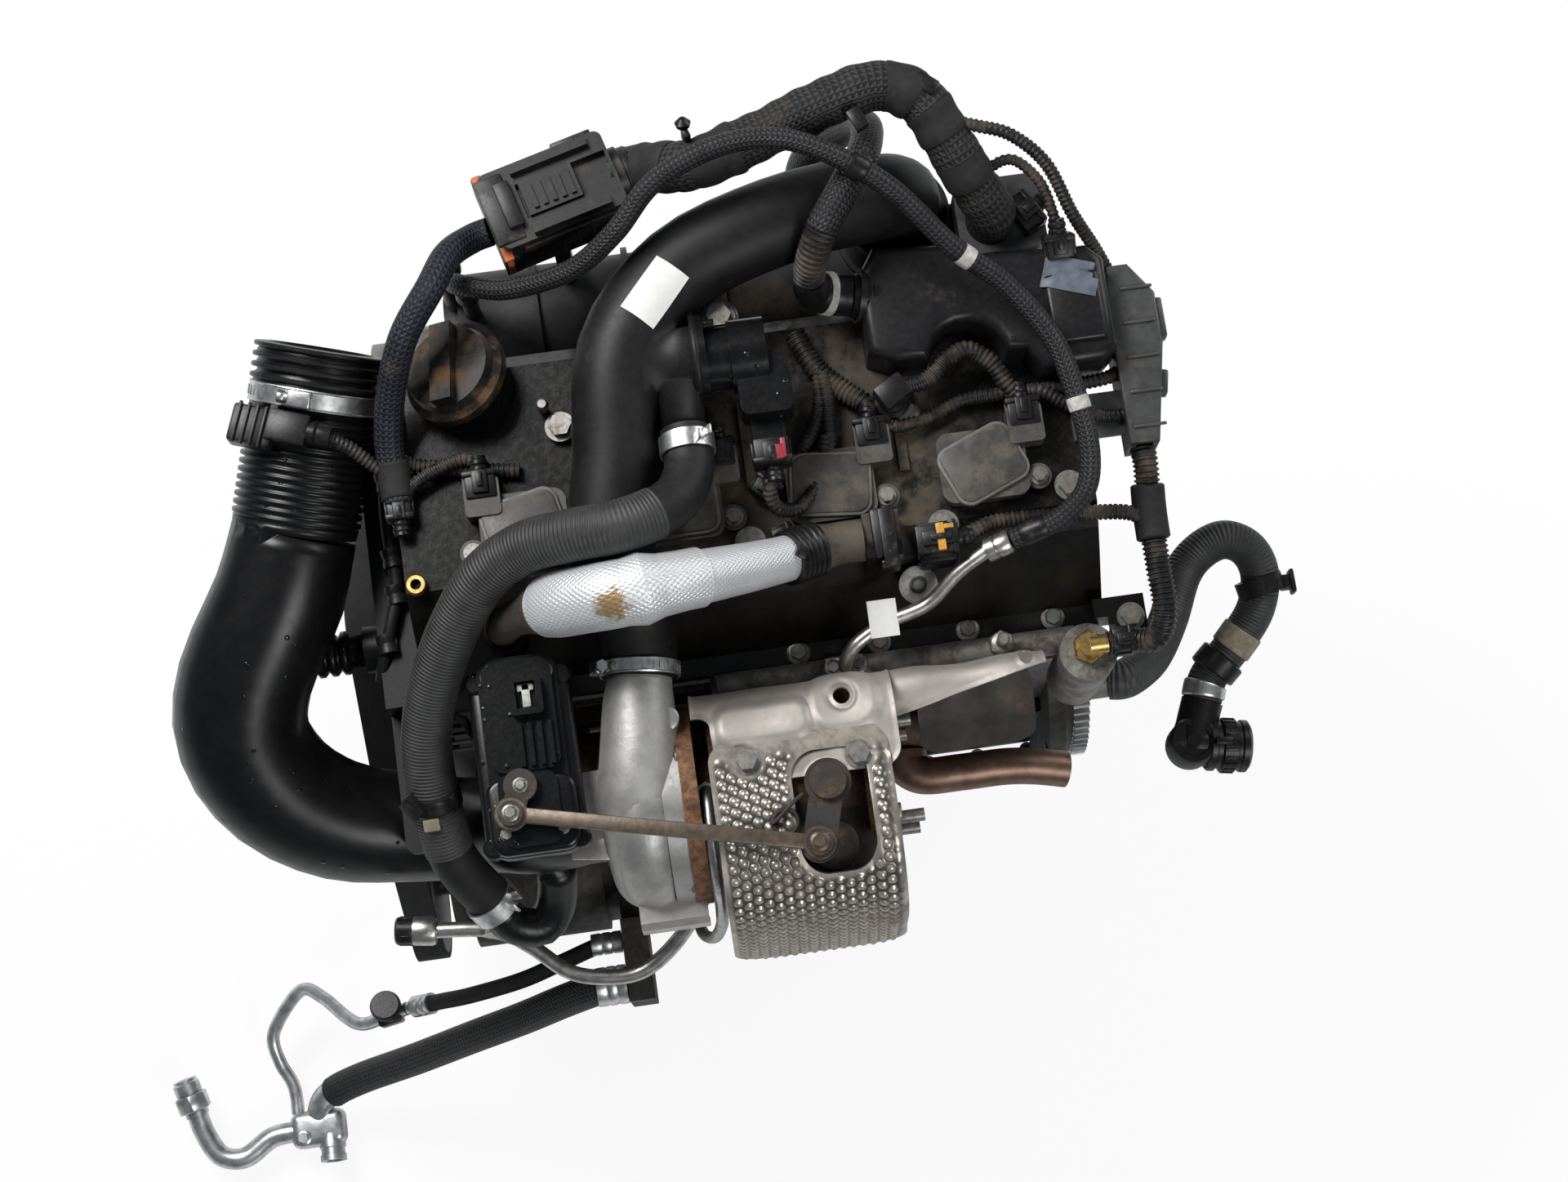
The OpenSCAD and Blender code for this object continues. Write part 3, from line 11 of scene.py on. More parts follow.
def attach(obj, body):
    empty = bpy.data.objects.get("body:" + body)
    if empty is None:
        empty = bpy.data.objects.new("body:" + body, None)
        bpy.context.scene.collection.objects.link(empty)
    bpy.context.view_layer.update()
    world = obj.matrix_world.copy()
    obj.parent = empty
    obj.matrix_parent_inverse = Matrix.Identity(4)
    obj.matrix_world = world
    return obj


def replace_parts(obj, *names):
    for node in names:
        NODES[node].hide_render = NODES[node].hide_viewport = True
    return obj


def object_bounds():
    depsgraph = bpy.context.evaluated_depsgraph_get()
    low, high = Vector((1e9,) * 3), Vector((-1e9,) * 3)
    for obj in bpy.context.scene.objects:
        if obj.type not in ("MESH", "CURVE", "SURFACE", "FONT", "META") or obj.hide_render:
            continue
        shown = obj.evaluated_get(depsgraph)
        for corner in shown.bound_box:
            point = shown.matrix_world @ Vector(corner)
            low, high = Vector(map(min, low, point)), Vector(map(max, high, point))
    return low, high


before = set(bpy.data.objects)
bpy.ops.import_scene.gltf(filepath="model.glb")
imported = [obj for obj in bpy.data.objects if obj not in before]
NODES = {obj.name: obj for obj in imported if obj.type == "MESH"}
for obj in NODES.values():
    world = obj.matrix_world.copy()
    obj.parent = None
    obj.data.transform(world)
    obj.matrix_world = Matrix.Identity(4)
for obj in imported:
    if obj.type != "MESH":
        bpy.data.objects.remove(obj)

bl_info = {
    "name": "Turbocharged car engine",
    "version": (1, 0, 0),
    "blender": (4, 5, 0),
    "location": "View3D > Sidebar > Engine",
    "description": "Finishes, hoses, looms and small parts of a turbocharged car engine",
    "category": "Object",
}

MM = 0.001
CAD_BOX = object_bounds()
Z_AXIS = Vector((0, 0, 1))
AZIMUTH, ELEVATION = -8.0, 78.0
CAMERA_TARGET, CAMERA_DISTANCE, LENS = Vector((0.010, -0.060, 0.560)), 1.740, 65.625
ARM_PIVOT, ARM_PIN, LEVER_PIN = (-162, -159), (-169.01, -176.01), (9.005, -218.04)


class EngineFinishes(bpy.types.PropertyGroup):
    dust: FloatVectorProperty(name="Dust", description="Colour of the dry road dust", subtype="COLOR",
                              default=(0.092, 0.070, 0.050))
    soot: FloatVectorProperty(name="Soot", description="Colour of oily grime", subtype="COLOR",
                              default=(0.03, 0.026, 0.022))
    rust: FloatVectorProperty(name="Rust", description="Colour of fresh rust", subtype="COLOR",
                              default=(0.17, 0.065, 0.026))
    black: FloatVectorProperty(name="Black plastic", description="Colour of the moulded plastic", subtype="COLOR",
                               default=(0.0055, 0.0055, 0.006))
    alloy: FloatVectorProperty(name="Cast alloy", description="Colour of the cast aluminium", subtype="COLOR",
                               default=(0.37, 0.362, 0.345))
    dust_amount: FloatProperty(name="Dust amount", description="Share of a dusty surface that is covered",
                               default=0.36, min=0, max=1, subtype="FACTOR")


class EngineSizes(bpy.types.PropertyGroup):
    braid_pitch: FloatProperty(name="Braid pitch", description="Width of one strand of the braided sleeves",
                               default=0.0031, unit="LENGTH")
    sleeve_pitch: FloatProperty(name="Sleeve pitch", description="Spacing of the ribs on the ribbed sleeve",
                                default=0.0024, unit="LENGTH")
    conduit_pitch: FloatProperty(name="Conduit pitch", description="Spacing of the rings on a split conduit",
                                 default=0.0032, unit="LENGTH")
    dimple_pitch: FloatProperty(name="Dimple pitch", description="Spacing of the dimples in the turbine shield",
                                default=0.0062, unit="LENGTH")
    tube_sides: IntProperty(name="Tube sides", description="Sides of a hose's section", default=24, min=8)


def finishes():
    return bpy.context.scene.engine_finishes


def sizes():
    return bpy.context.scene.engine_sizes


# Meshes

def mm(*p):
    return Vector(p) * MM


def shift(*p):
    return Matrix.Translation(mm(*p))


def about_z(degrees):
    return Matrix.Rotation(radians(degrees), 4, "Z")


def turn_to(direction, roll=0.0):
    """A turn that takes local Z to a direction."""
    return Vector(direction).to_track_quat("Z", "Y").to_matrix().to_4x4() @ about_z(roll)


def at(point, direction=(0, 0, 1), roll=0.0):
    """A place in millimetres with local Z along a direction."""
    return shift(*point) @ turn_to(direction, roll)


def spun(point, degrees):
    """A place in millimetres turned about the upright."""
    return shift(*point) @ about_z(degrees)


def box(bm, size, place, bevel=1.0, segments=2):
    """A block centred on its place, with rounded edges."""
    made = bmesh.ops.create_cube(bm, size=1.0)
    verts = made["verts"]
    bmesh.ops.scale(bm, vec=mm(*size), verts=verts)
    if bevel:
        edges = list({e for v in verts for e in v.link_edges})
        done = bmesh.ops.bevel(bm, geom=edges, offset=bevel * MM, segments=segments, profile=0.5, affect="EDGES",
                               material=-1, clamp_overlap=True)
        verts = list({v for f in done["faces"] for v in f.verts} | {v for v in verts if v.is_valid})
    bmesh.ops.transform(bm, matrix=place, verts=verts)


def lathe(bm, profile, place, steps=32):
    """A turned shape: [radius, height] pairs in millimetres round local Z."""
    verts = [bm.verts.new((r * MM, 0, z * MM)) for r, z in profile]
    edges = [bm.edges.new(pair) for pair in zip(verts, verts[1:])]
    bmesh.ops.spin(bm, geom=verts + edges, cent=(0, 0, 0), axis=(0, 0, 1), dvec=(0, 0, 0), angle=2 * pi, steps=steps,
                   use_merge=True, use_normal_flip=False, use_duplicate=False)
    faces = {f for v in verts if v.is_valid for f in v.link_faces}
    reach = set(faces)
    while faces:
        faces = {g for f in faces for e in f.edges for g in e.link_faces} - reach
        reach |= faces
    verts = list({v for f in reach for v in f.verts})
    bmesh.ops.remove_doubles(bm, verts=verts, dist=1e-7)
    verts = list({v for f in reach if f.is_valid for v in f.verts})
    bmesh.ops.transform(bm, matrix=place, verts=verts)


def hexagon(bm, r, h, place, bevel=0.5):
    """A six-sided head standing on its place."""
    made = bmesh.ops.create_cone(bm, cap_ends=True, segments=6, radius1=r * MM, radius2=r * MM, depth=h * MM)
    verts = made["verts"]
    bmesh.ops.translate(bm, vec=(0, 0, h * MM / 2), verts=verts)
    edges = list({e for v in verts for e in v.link_edges})
    done = bmesh.ops.bevel(bm, geom=edges, offset=bevel * MM, segments=1, profile=0.5, affect="EDGES", material=-1)
    verts = list({v for f in done["faces"] for v in f.verts} | {v for v in verts if v.is_valid})
    bmesh.ops.transform(bm, matrix=place, verts=verts)


def bolt(bm, point, direction, r, shank=0.0):
    """A flanged bolt head with its shank under it."""
    place = at(point, direction)
    lathe(bm, [(0, -shank), (0.6 * r, -shank), (0.6 * r, 0), (1.5 * r, 0), (1.5 * r, 0.22 * r), (1.15 * r, 0.45 * r),
               (0, 0.45 * r)], place, 24)
    hexagon(bm, r * 1.08, 1.25 * r, place)


def catmull(a, b, c, d, t):
    return 0.5 * (2 * b + (c - a) * t + (2 * a - 5 * b + 4 * c - d) * t * t + (3 * b - a - 3 * c + d) * t * t * t)


def along(route, step, radius=None):
    """Even stations (point, radius) in millimetres on the smooth curve through a route."""
    pts = [Vector((p[0], p[1], p[2], p[3] if len(p) > 3 else radius)) for p in route]
    fine = []
    for i in range(len(pts) - 1):
        a, d = pts[max(i - 1, 0)], pts[min(i + 2, len(pts) - 1)]
        fine += [catmull(a, pts[i], pts[i + 1], d, j / 24) for j in range(24)]
    fine.append(pts[-1])
    runs = [0.0]
    for p, q in zip(fine, fine[1:]):
        runs.append(runs[-1] + (q.xyz - p.xyz).length)
    count = max(2, round(runs[-1] / step))
    out, k = [], 0
    for i in range(count + 1):
        s = runs[-1] * i / count
        while k < len(fine) - 2 and runs[k + 1] < s:
            k += 1
        t = (s - runs[k]) / max(runs[k + 1] - runs[k], 1e-9)
        p = fine[k].lerp(fine[k + 1], min(max(t, 0), 1))
        out.append((p.xyz, p.w))
    return out


def sweep(bm, stations, sides=None, caps=True):
    """A tube through stations in millimetres, with a UV map in metres: along, then round."""
    sides = sides or sizes().tube_sides
    uv = bm.loops.layers.uv.verify()
    pts = [p * MM for p, _ in stations]
    last = len(pts) - 1
    tangents = [(pts[min(i + 1, last)] - pts[max(i - 1, 0)]).normalized() for i in range(last + 1)]
    side = tangents[0].orthogonal().normalized()
    places = []
    for p, t in zip(pts, tangents):
        side = (side - t * side.dot(t)).normalized()
        places.append(Matrix.Translation(p) @ Matrix((side, t.cross(side), t)).transposed().to_4x4())
    ring = bmesh.ops.create_circle(bm, cap_ends=False, radius=stations[0][1] * MM, segments=sides, matrix=places[0])
    verts = ring["verts"]
    mark = {v: (0.0, j) for j, v in enumerate(verts)}
    edges = list({e for v in verts for e in v.link_edges})
    first, s = list(edges), 0.0
    for i in range(1, last + 1):
        made = bmesh.ops.extrude_edge_only(bm, edges=edges)["geom"]
        new = [g for g in made if isinstance(g, bmesh.types.BMVert)]
        fresh = set(new)
        edges = [g for g in made if isinstance(g, bmesh.types.BMEdge) and g.verts[0] in fresh and g.verts[1] in fresh]
        s += (pts[i] - pts[i - 1]).length
        for v in new:
            old = next(o for e in v.link_edges for o in e.verts if o not in fresh)
            mark[v] = (s, mark[old][1])
        grow = Matrix.Scale(stations[i][1] / stations[i - 1][1], 4)
        bmesh.ops.transform(bm, matrix=places[i] @ grow @ places[i - 1].inverted(), verts=new)
    girth = 2 * pi * max(r for _, r in stations) * MM
    for face in {f for v in mark for f in v.link_faces}:
        wraps = {mark[v][1] for v in face.verts} >= {0, sides - 1}
        for loop in face.loops:
            run, j = mark[loop.vert]
            loop[uv].uv = (run, girth * (sides if wraps and j == 0 else j) / sides)
    if caps:
        bmesh.ops.contextual_create(bm, geom=first)
        bmesh.ops.contextual_create(bm, geom=edges)


def ringed(route, radius, pitch, depth=0.16):
    """Stations of a conduit whose radius steps in and out."""
    stations = along(route, pitch / 4, radius)
    return [(p, r * (1 - depth * (0, 0, 1, 1)[i % 4])) for i, (p, r) in enumerate(stations)]


def piece(name, bm, finish_name, body="engine", sharp=38):
    """A finished object that rides on a body."""
    bmesh.ops.remove_doubles(bm, verts=bm.verts, dist=2e-7)
    bmesh.ops.recalc_face_normals(bm, faces=bm.faces)
    mesh = bpy.data.meshes.new(name)
    bm.to_mesh(mesh)
    bm.free()
    mesh.materials.append(MADE[finish_name])
    mesh.shade_smooth()
    mesh.set_sharp_from_angle(angle=radians(sharp))
    obj = bpy.data.objects.new(name, mesh)
    bpy.context.scene.collection.objects.link(obj)
    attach(obj, body)
    return obj


def smoothed(node, finish_name, name, sharp=38):
    """A copy of a solid with its facets merged and shaded round, in place of the solid."""
    bm = bmesh.new()
    bm.from_mesh(NODES[node].data)
    bmesh.ops.remove_doubles(bm, verts=bm.verts, dist=1e-6)
    obj = piece(name, bm, finish_name, sharp=sharp)
    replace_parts(obj, node)


TREES = {}


def seat(x, y, *nodes):
    """Height in millimetres of the highest surface of some solids under a point."""
    best = None
    for name in nodes:
        if name not in TREES:
            mesh = NODES[name].data
            TREES[name] = BVHTree.FromPolygons([v.co for v in mesh.vertices], [p.vertices for p in mesh.polygons])
        hit = TREES[name].ray_cast(mm(x, y, 2000), -Z_AXIS)[0]
        if hit and (best is None or hit.z / MM > best):
            best = hit.z / MM
    if best is None:
        raise RuntimeError(f"nothing under {x}, {y} in {nodes}")
    return best


def draped(bm, centre, along_dir, half_l, half_w, nodes, lift=0.4, cuts=8):
    """A thin sheet laid on what is under it."""
    u = Vector((*along_dir, 0)).normalized()
    v = Z_AXIS.cross(u)
    made = bmesh.ops.create_grid(bm, x_segments=cuts, y_segments=cuts, size=1.0)
    for vert in made["verts"]:
        p = Vector((*centre, 0)) + u * (vert.co.x * half_l) + v * (vert.co.y * half_w)
        vert.co = mm(p.x, p.y, seat(p.x, p.y, *nodes) + lift)
    faces = list({f for vert in made["verts"] for f in vert.link_faces})
    bmesh.ops.recalc_face_normals(bm, faces=faces)
    bmesh.ops.solidify(bm, geom=faces, thickness=-0.35 * MM)
    bmesh.ops.recalc_face_normals(bm, faces=bm.faces)


def rounded_outline(x0, x1, y0, y1, r):
    """Corner points of a rounded rectangle."""
    return [(cx + r * cos(radians(g)), cy + r * sin(radians(g)))
            for cx, cy, first in ((x1 - r, y1 - r, 0), (x0 + r, y1 - r, 90), (x0 + r, y0 + r, 180),
                                  (x1 - r, y0 + r, 270))
            for g in range(first, first + 91, 15)]


def plate(bm, outline, low, high, bevel, segments=3, place=Matrix()):
    """An upright prism with a rounded top edge."""
    face = bm.faces.new([bm.verts.new(place @ mm(x, y, low)) for x, y in outline])
    made = bmesh.ops.extrude_face_region(bm, geom=[face])["geom"]
    top = {g for g in made if isinstance(g, bmesh.types.BMVert)}
    bmesh.ops.translate(bm, vec=mm(0, 0, high - low), verts=list(top))
    ring = [e for e in {e for v in top for e in v.link_edges} if e.verts[0] in top and e.verts[1] in top]
    bmesh.ops.bevel(bm, geom=ring, offset=bevel * MM, segments=segments, profile=0.5, affect="EDGES", material=-1)


def rounded(x, y, cx, cy, hx, hy, r):
    """Signed distance from a rounded rectangle."""
    qx, qy = abs(x - cx) - hx + r, abs(y - cy) - hy + r
    return min(max(qx, qy), 0.0) + Vector((max(qx, 0.0), max(qy, 0.0))).length - r


def pressed_sheet(bm, profile, low, high, outside, relief, thick):
    """A pressed sheet: a (y, z) profile drawn from one x to another, trimmed where outside() is above zero and
    lifted by relief(), whose second value goes to the UV map."""
    run = [p for p, _ in along([(0, y, z) for y, z in profile], 1.0, 1.0)]
    last = len(run) - 1
    uv = bm.loops.layers.uv.verify()

    def spot(u, s, lift=0.0):
        s = min(max(s, 0.0), last - 0.001)
        k = int(s)
        t = (run[min(k + 2, last)] - run[max(k - 1, 0)]).normalized()
        return run[k].lerp(run[k + 1], s - k) + Vector((u, t.z * lift, -t.y * lift))

    def out(u, s):
        frame_gap = rounded(u, s, (low + high) / 2, last / 2, (high - low) / 2, last / 2, 12)
        return max(frame_gap, outside(u, s, spot(u, s)))

    grid = bmesh.ops.create_grid(bm, x_segments=round(high - low), y_segments=last, size=1.0)["verts"]
    place = {v: (low + (high - low) * (v.co.x + 1) / 2, (v.co.y + 1) / 2 * last) for v in grid}
    faces = {f for v in grid for f in v.link_faces}
    gone = {f for f in faces if out(sum(place[v][0] for v in f.verts) / 4, sum(place[v][1] for v in f.verts) / 4) > 0}
    bmesh.ops.delete(bm, geom=list(gone), context="FACES")
    for v in [v for v in grid if v.is_valid]:
        u, s = place[v]
        for _ in range(4 if v.is_boundary else 0):
            away = out(u, s)
            slope = Vector((out(u + 0.05, s) - away, out(u, s + 0.05) - away)) / 0.05
            if abs(away) > 2 or slope.length < 0.1:
                break
            u, s = Vector((u, s)) - slope * (away / slope.length_squared)
        # relief()'s second value goes to the UV map, where the dimpled finish reads it as painted shade
        lift, mark = relief(u, s, spot(u, s), out(u, s))
        v.co = spot(u, s, thick + lift) * MM
        for loop in v.link_loops:
            loop[uv].uv = (mark, 0)
    kept = list(faces - gone)
    bmesh.ops.recalc_face_normals(bm, faces=kept)
    bmesh.ops.solidify(bm, geom=kept, thickness=thick * MM)


def ramp(value, low, high):
    """0 below one value, 1 above another, smooth between."""
    k = min(1.0, max(0.0, (value - low) / (high - low)))
    return k * k * (3 - 2 * k)


def away_from(p, x, y):
    return Vector((p.x - x, p.y - y)).length


# Shader nodes

class Tree:
    """Short way to add linked nodes to a node tree."""

    def __init__(self, tree):
        self.tree = tree

    def add(self, kind, ins=(), **props):
        made = self.tree.nodes.new(kind)
        for key, value in props.items():
            setattr(made, key, value)
        for key, value in dict(ins).items():
            if isinstance(value, bpy.types.NodeSocket):
                self.tree.links.new(value, made.inputs[key])
            else:
                made.inputs[key].default_value = value
        return made

    def math(self, operation, a, b=0.5, clamp=False):
        made = self.add("ShaderNodeMath", {0: a, 1: b}, operation=operation, use_clamp=clamp)
        return made.outputs[0]

    def mix(self, factor, a, b):
        made = self.add("ShaderNodeMix", data_type="RGBA")
        for socket, value in zip((made.inputs[0], made.inputs[6], made.inputs[7]), (factor, a, b)):
            if isinstance(value, bpy.types.NodeSocket):
                self.tree.links.new(value, socket)
            else:
                socket.default_value = value
        return made.outputs[2]

    def noise(self, vector, scale, detail=5.0, rough=0.6):
        made = self.add("ShaderNodeTexNoise", {"Vector": vector, "Scale": scale, "Detail": detail, "Roughness": rough})
        return made.outputs["Fac"]

    def span(self, value, low, high, out_low=0.0, out_high=1.0):
        made = self.add("ShaderNodeMapRange", {"Value": value, "From Min": low, "From Max": high, "To Min": out_low,
                                               "To Max": out_high}, interpolation_type="SMOOTHSTEP")
        return made.outputs["Result"]


def new_group(name, ins, outs):
    group = bpy.data.node_groups.new(name, "ShaderNodeTree")
    for label, kind, value in ins:
        socket = group.interface.new_socket(label, in_out="INPUT", socket_type="NodeSocket" + kind)
        socket.default_value = value
    for label, kind in outs:
        group.interface.new_socket(label, in_out="OUTPUT", socket_type="NodeSocket" + kind)
    tree = Tree(group)
    source = group.nodes.new("NodeGroupInput").outputs
    sink = group.nodes.new("NodeGroupOutput").inputs
    return tree, source, lambda label, socket: group.links.new(socket, sink[label])


def build_groups():
    """The effects that several finishes share."""
    grey = (0.5, 0.5, 0.5, 1)
    t, i, out = new_group("Road dust", [
        ("Base Color", "Color", grey), ("Dirt Color", "Color", grey), ("Amount", "Float", 0.4),
        ("Scale", "Float", 20.0), ("Clean Roughness", "Float", 0.4), ("Dirt Roughness", "Float", 0.9),
        ("Wear", "Float", 0.4)],
        [("Color", "Color"), ("Roughness", "Float"), ("Height", "Float")])
    where = t.add("ShaderNodeTexCoord").outputs["Object"]
    up = t.add("ShaderNodeSeparateXYZ", {0: t.add("ShaderNodeNewGeometry").outputs["Normal"]}).outputs["Z"]
    broad = t.noise(where, i["Scale"], 8.0, 0.68)
    fine = t.noise(where, t.math("MULTIPLY", i["Scale"], 11.0), 6.0, 0.7)
    edge = t.math("SUBTRACT", 0.84, t.math("MULTIPLY", i["Amount"], 0.62))
    mask = t.span(broad, t.math("SUBTRACT", edge, 0.13), t.math("ADD", edge, 0.13))
    film = t.math("MULTIPLY", t.math("MULTIPLY", i["Amount"], 0.24), t.span(fine, 0.42, 0.68))
    mask = t.math("MAXIMUM", t.math("MULTIPLY", mask, t.span(fine, 0.2, 0.62, 0.35, 1.0)), film)
    mask = t.math("MULTIPLY", mask, t.span(up, -0.5, 0.9, 0.3, 1.0), clamp=True)
    worn = t.mix(t.span(t.noise(where, t.math("MULTIPLY", i["Scale"], 3.1)), 0.35, 0.7), i["Base Color"],
                 t.mix(i["Wear"], i["Base Color"], (0, 0, 0, 1)))
    out("Color", t.mix(mask, worn, i["Dirt Color"]))
    rough = t.add("ShaderNodeMapRange", {"Value": mask, "To Min": i["Clean Roughness"],
                                         "To Max": i["Dirt Roughness"]}).outputs["Result"]
    out("Roughness", t.math("ADD", rough, t.math("MULTIPLY", t.math("SUBTRACT", fine, 0.5), 0.16), clamp=True))
    out("Height", t.math("ADD", t.math("MULTIPLY", mask, 0.6), t.math("MULTIPLY", fine, 0.4)))

    t, i, out = new_group("Rust bloom", [
        ("Base Color", "Color", grey), ("Rust Color", "Color", grey), ("Amount", "Float", 0.5),
        ("Scale", "Float", 30.0)],
        [("Color", "Color"), ("Mask", "Float")])
    where = t.add("ShaderNodeTexCoord").outputs["Object"]
    broad = t.noise(where, i["Scale"], 9.0, 0.72)
    fine = t.noise(where, t.math("MULTIPLY", i["Scale"], 7.0), 5.0, 0.7)
    edge = t.math("SUBTRACT", 0.8, t.math("MULTIPLY", i["Amount"], 0.6))
    mask = t.span(broad, t.math("SUBTRACT", edge, 0.16), t.math("ADD", edge, 0.16))
    shade = t.mix(t.span(fine, 0.3, 0.7), t.mix(0.62, i["Rust Color"], (0.01, 0.006, 0.004, 1)),
                  t.mix(0.22, i["Rust Color"], (0.5, 0.27, 0.12, 1)))
    out("Color", t.mix(mask, i["Base Color"], shade))
    out("Mask", mask)

    t, i, out = new_group("Braid weave", [("Strand", "Float", 0.002)], [("Height", "Float"), ("Shade", "Float")])
    uv = t.add("ShaderNodeSeparateXYZ", {0: t.add("ShaderNodeTexCoord").outputs["UV"]}).outputs
    turn = t.math("DIVIDE", pi, i["Strand"])
    left = t.math("SINE", t.math("MULTIPLY", t.math("ADD", uv["X"], uv["Y"]), turn))
    right = t.math("SINE", t.math("MULTIPLY", t.math("SUBTRACT", uv["X"], uv["Y"]), turn))
    height = t.math("MAXIMUM", t.math("MULTIPLY", left, left), t.math("MULTIPLY", right, right))
    out("Height", height)
    # Painted sheen and shade: strands of one lay come out lighter and those crossing them darker, as colour
    out("Shade", t.span(t.math("ADD", t.math("MULTIPLY", left, right), 1.0), 0.2, 1.8))

    t, i, out = new_group("Sleeve ribs", [("Pitch", "Float", 0.002)], [("Height", "Float")])
    uv = t.add("ShaderNodeSeparateXYZ", {0: t.add("ShaderNodeTexCoord").outputs["UV"]}).outputs
    wave = t.math("SINE", t.math("MULTIPLY", uv["X"], t.math("DIVIDE", 2 * pi, i["Pitch"])))
    out("Height", t.math("ADD", t.math("MULTIPLY", wave, 0.5), 0.5))

    t, i, out = new_group("Water beads", [("Scale", "Float", 160.0), ("Share", "Float", 0.3)],
                          [("Height", "Float"), ("Mask", "Float")])
    where = t.add("ShaderNodeTexCoord").outputs["Object"]
    cells = t.add("ShaderNodeTexVoronoi", {"Vector": where, "Scale": i["Scale"], "Randomness": 1.0})
    pick = t.add("ShaderNodeSeparateColor", {0: cells.outputs["Color"]}).outputs[0]
    drop = t.math("MULTIPLY", t.span(cells.outputs["Distance"], 0.34, 0.1), t.math("LESS_THAN", pick, i["Share"]))
    out("Height", drop)
    out("Mask", t.span(drop, 0.05, 0.3))


MADE = {}
DARK_BASE, DARK_SPECULAR = 0.03, 0.28
BUMP_STRENGTH, BUMP_DEPTH = 0.75, 0.0008


def rgba(colour):
    return (*colour[:3], 1.0)


def finish(name, base, rough=0.5, metal=0.0, dirt=None, amount=0.4, scale=22.0, dirt_rough=0.92, rust=0.0,
           rust_scale=40.0, pattern=None, pitch=0.002, depth=0.5, grain=0.15, beads=0.0, coat=0.0, shade=None,
           cover=None, wear=0.4):
    """A finish of this engine, made once: base colour, rust, dust, a pressed or woven pattern (painted shade in the
    dimples' valleys, painted sheen and shade on the braid's strands) and fine grain.
    """
    if name in MADE:
        return MADE[name]
    material = bpy.data.materials.new(name)
    material.use_nodes = True
    t = Tree(material.node_tree)
    bsdf = material.node_tree.nodes["Principled BSDF"]
    colour, look = rgba(base), finishes()
    heights, metallic = [], metal

    def use(group, **ins):
        made = t.add("ShaderNodeGroup", node_tree=bpy.data.node_groups[group])
        for key, value in ins.items():
            socket = made.inputs[key.replace("_", " ")]
            if isinstance(value, bpy.types.NodeSocket):
                material.node_tree.links.new(value, socket)
            else:
                socket.default_value = value
        return made.outputs

    if pattern == "braid":
        weave = use("Braid weave", Strand=pitch)
        heights.append((weave["Height"], depth))
        # Painted sheen and shade on the braid: its colour runs from a quarter of the base to 2.6 times it
        colour = t.mix(weave["Shade"], rgba([0.25 * c for c in base]), rgba([min(1, 2.6 * c) for c in base]))
    elif pattern == "dimples":
        # Painted shade: the dimples' valleys, carried in the UV map, darken the colour to 0.3 of the base
        raised = t.add("ShaderNodeSeparateXYZ", {0: t.add("ShaderNodeTexCoord").outputs["UV"]}).outputs["X"]
        colour = t.mix(t.span(raised, 0.02, 0.5), rgba([0.3 * c for c in base]), colour)
    elif pattern == "weave":
        heights.append((use("Braid weave", Strand=pitch)["Height"], depth))
    elif pattern == "ribs":
        heights.append((use("Sleeve ribs", Pitch=pitch)["Height"], depth))
    if shade:
        colour = shade(t, colour)
    if rust:
        bloom = use("Rust bloom", Base_Color=colour, Rust_Color=rgba(look.rust), Amount=rust, Scale=rust_scale)
        colour = bloom["Color"]
        metallic = t.math("MULTIPLY", t.math("SUBTRACT", 1.0, bloom["Mask"]), metal) if metal else metal
    dusty = use("Road dust", Base_Color=colour, Dirt_Color=rgba(dirt or look.dust),
                Amount=cover(t, amount) if cover else amount, Scale=scale,
                Clean_Roughness=rough, Dirt_Roughness=dirt_rough, Wear=wear)
    heights.append((dusty["Height"], grain))
    links = material.node_tree.links
    links.new(dusty["Color"], bsdf.inputs["Base Color"])
    roughness = dusty["Roughness"]
    if beads:
        water = use("Water beads", Scale=190.0, Share=beads)
        heights.append((water["Height"], 0.9))
        roughness = t.math("MULTIPLY", roughness, t.math("SUBTRACT", 1.0, t.math("MULTIPLY", water["Mask"], 0.75)))
    links.new(roughness, bsdf.inputs["Roughness"])
    if isinstance(metallic, bpy.types.NodeSocket):
        links.new(metallic, bsdf.inputs["Metallic"])
    else:
        bsdf.inputs["Metallic"].default_value = metallic
    bsdf.inputs["Specular IOR Level"].default_value = DARK_SPECULAR if max(base) < DARK_BASE else 0.5
    bsdf.inputs["Coat Weight"].default_value = coat
    bsdf.inputs["Coat Roughness"].default_value = 0.12
    height = None
    for socket, weight in heights:
        part = t.math("MULTIPLY", socket, weight)
        height = part if height is None else t.math("ADD", height, part)
    bump = t.add("ShaderNodeBump", {"Strength": BUMP_STRENGTH, "Distance": BUMP_DEPTH, "Height": height})
    links.new(bump.outputs["Normal"], bsdf.inputs["Normal"])
    MADE[name] = material
    return material


def torn_spot(t, colour):
    """The worn tan patch on the silver sleeve."""
    where = t.add("ShaderNodeTexCoord").outputs["Object"]
    away = t.add("ShaderNodeVectorMath", {0: where, 1: mm(-92, -74, 652)}, operation="DISTANCE").outputs["Value"]
    ragged = t.math("ADD", away, t.math("MULTIPLY", t.noise(where, 160.0), 0.018))
    return t.mix(t.span(ragged, 0.0215, 0.0155), colour, (0.33, 0.22, 0.115, 1))


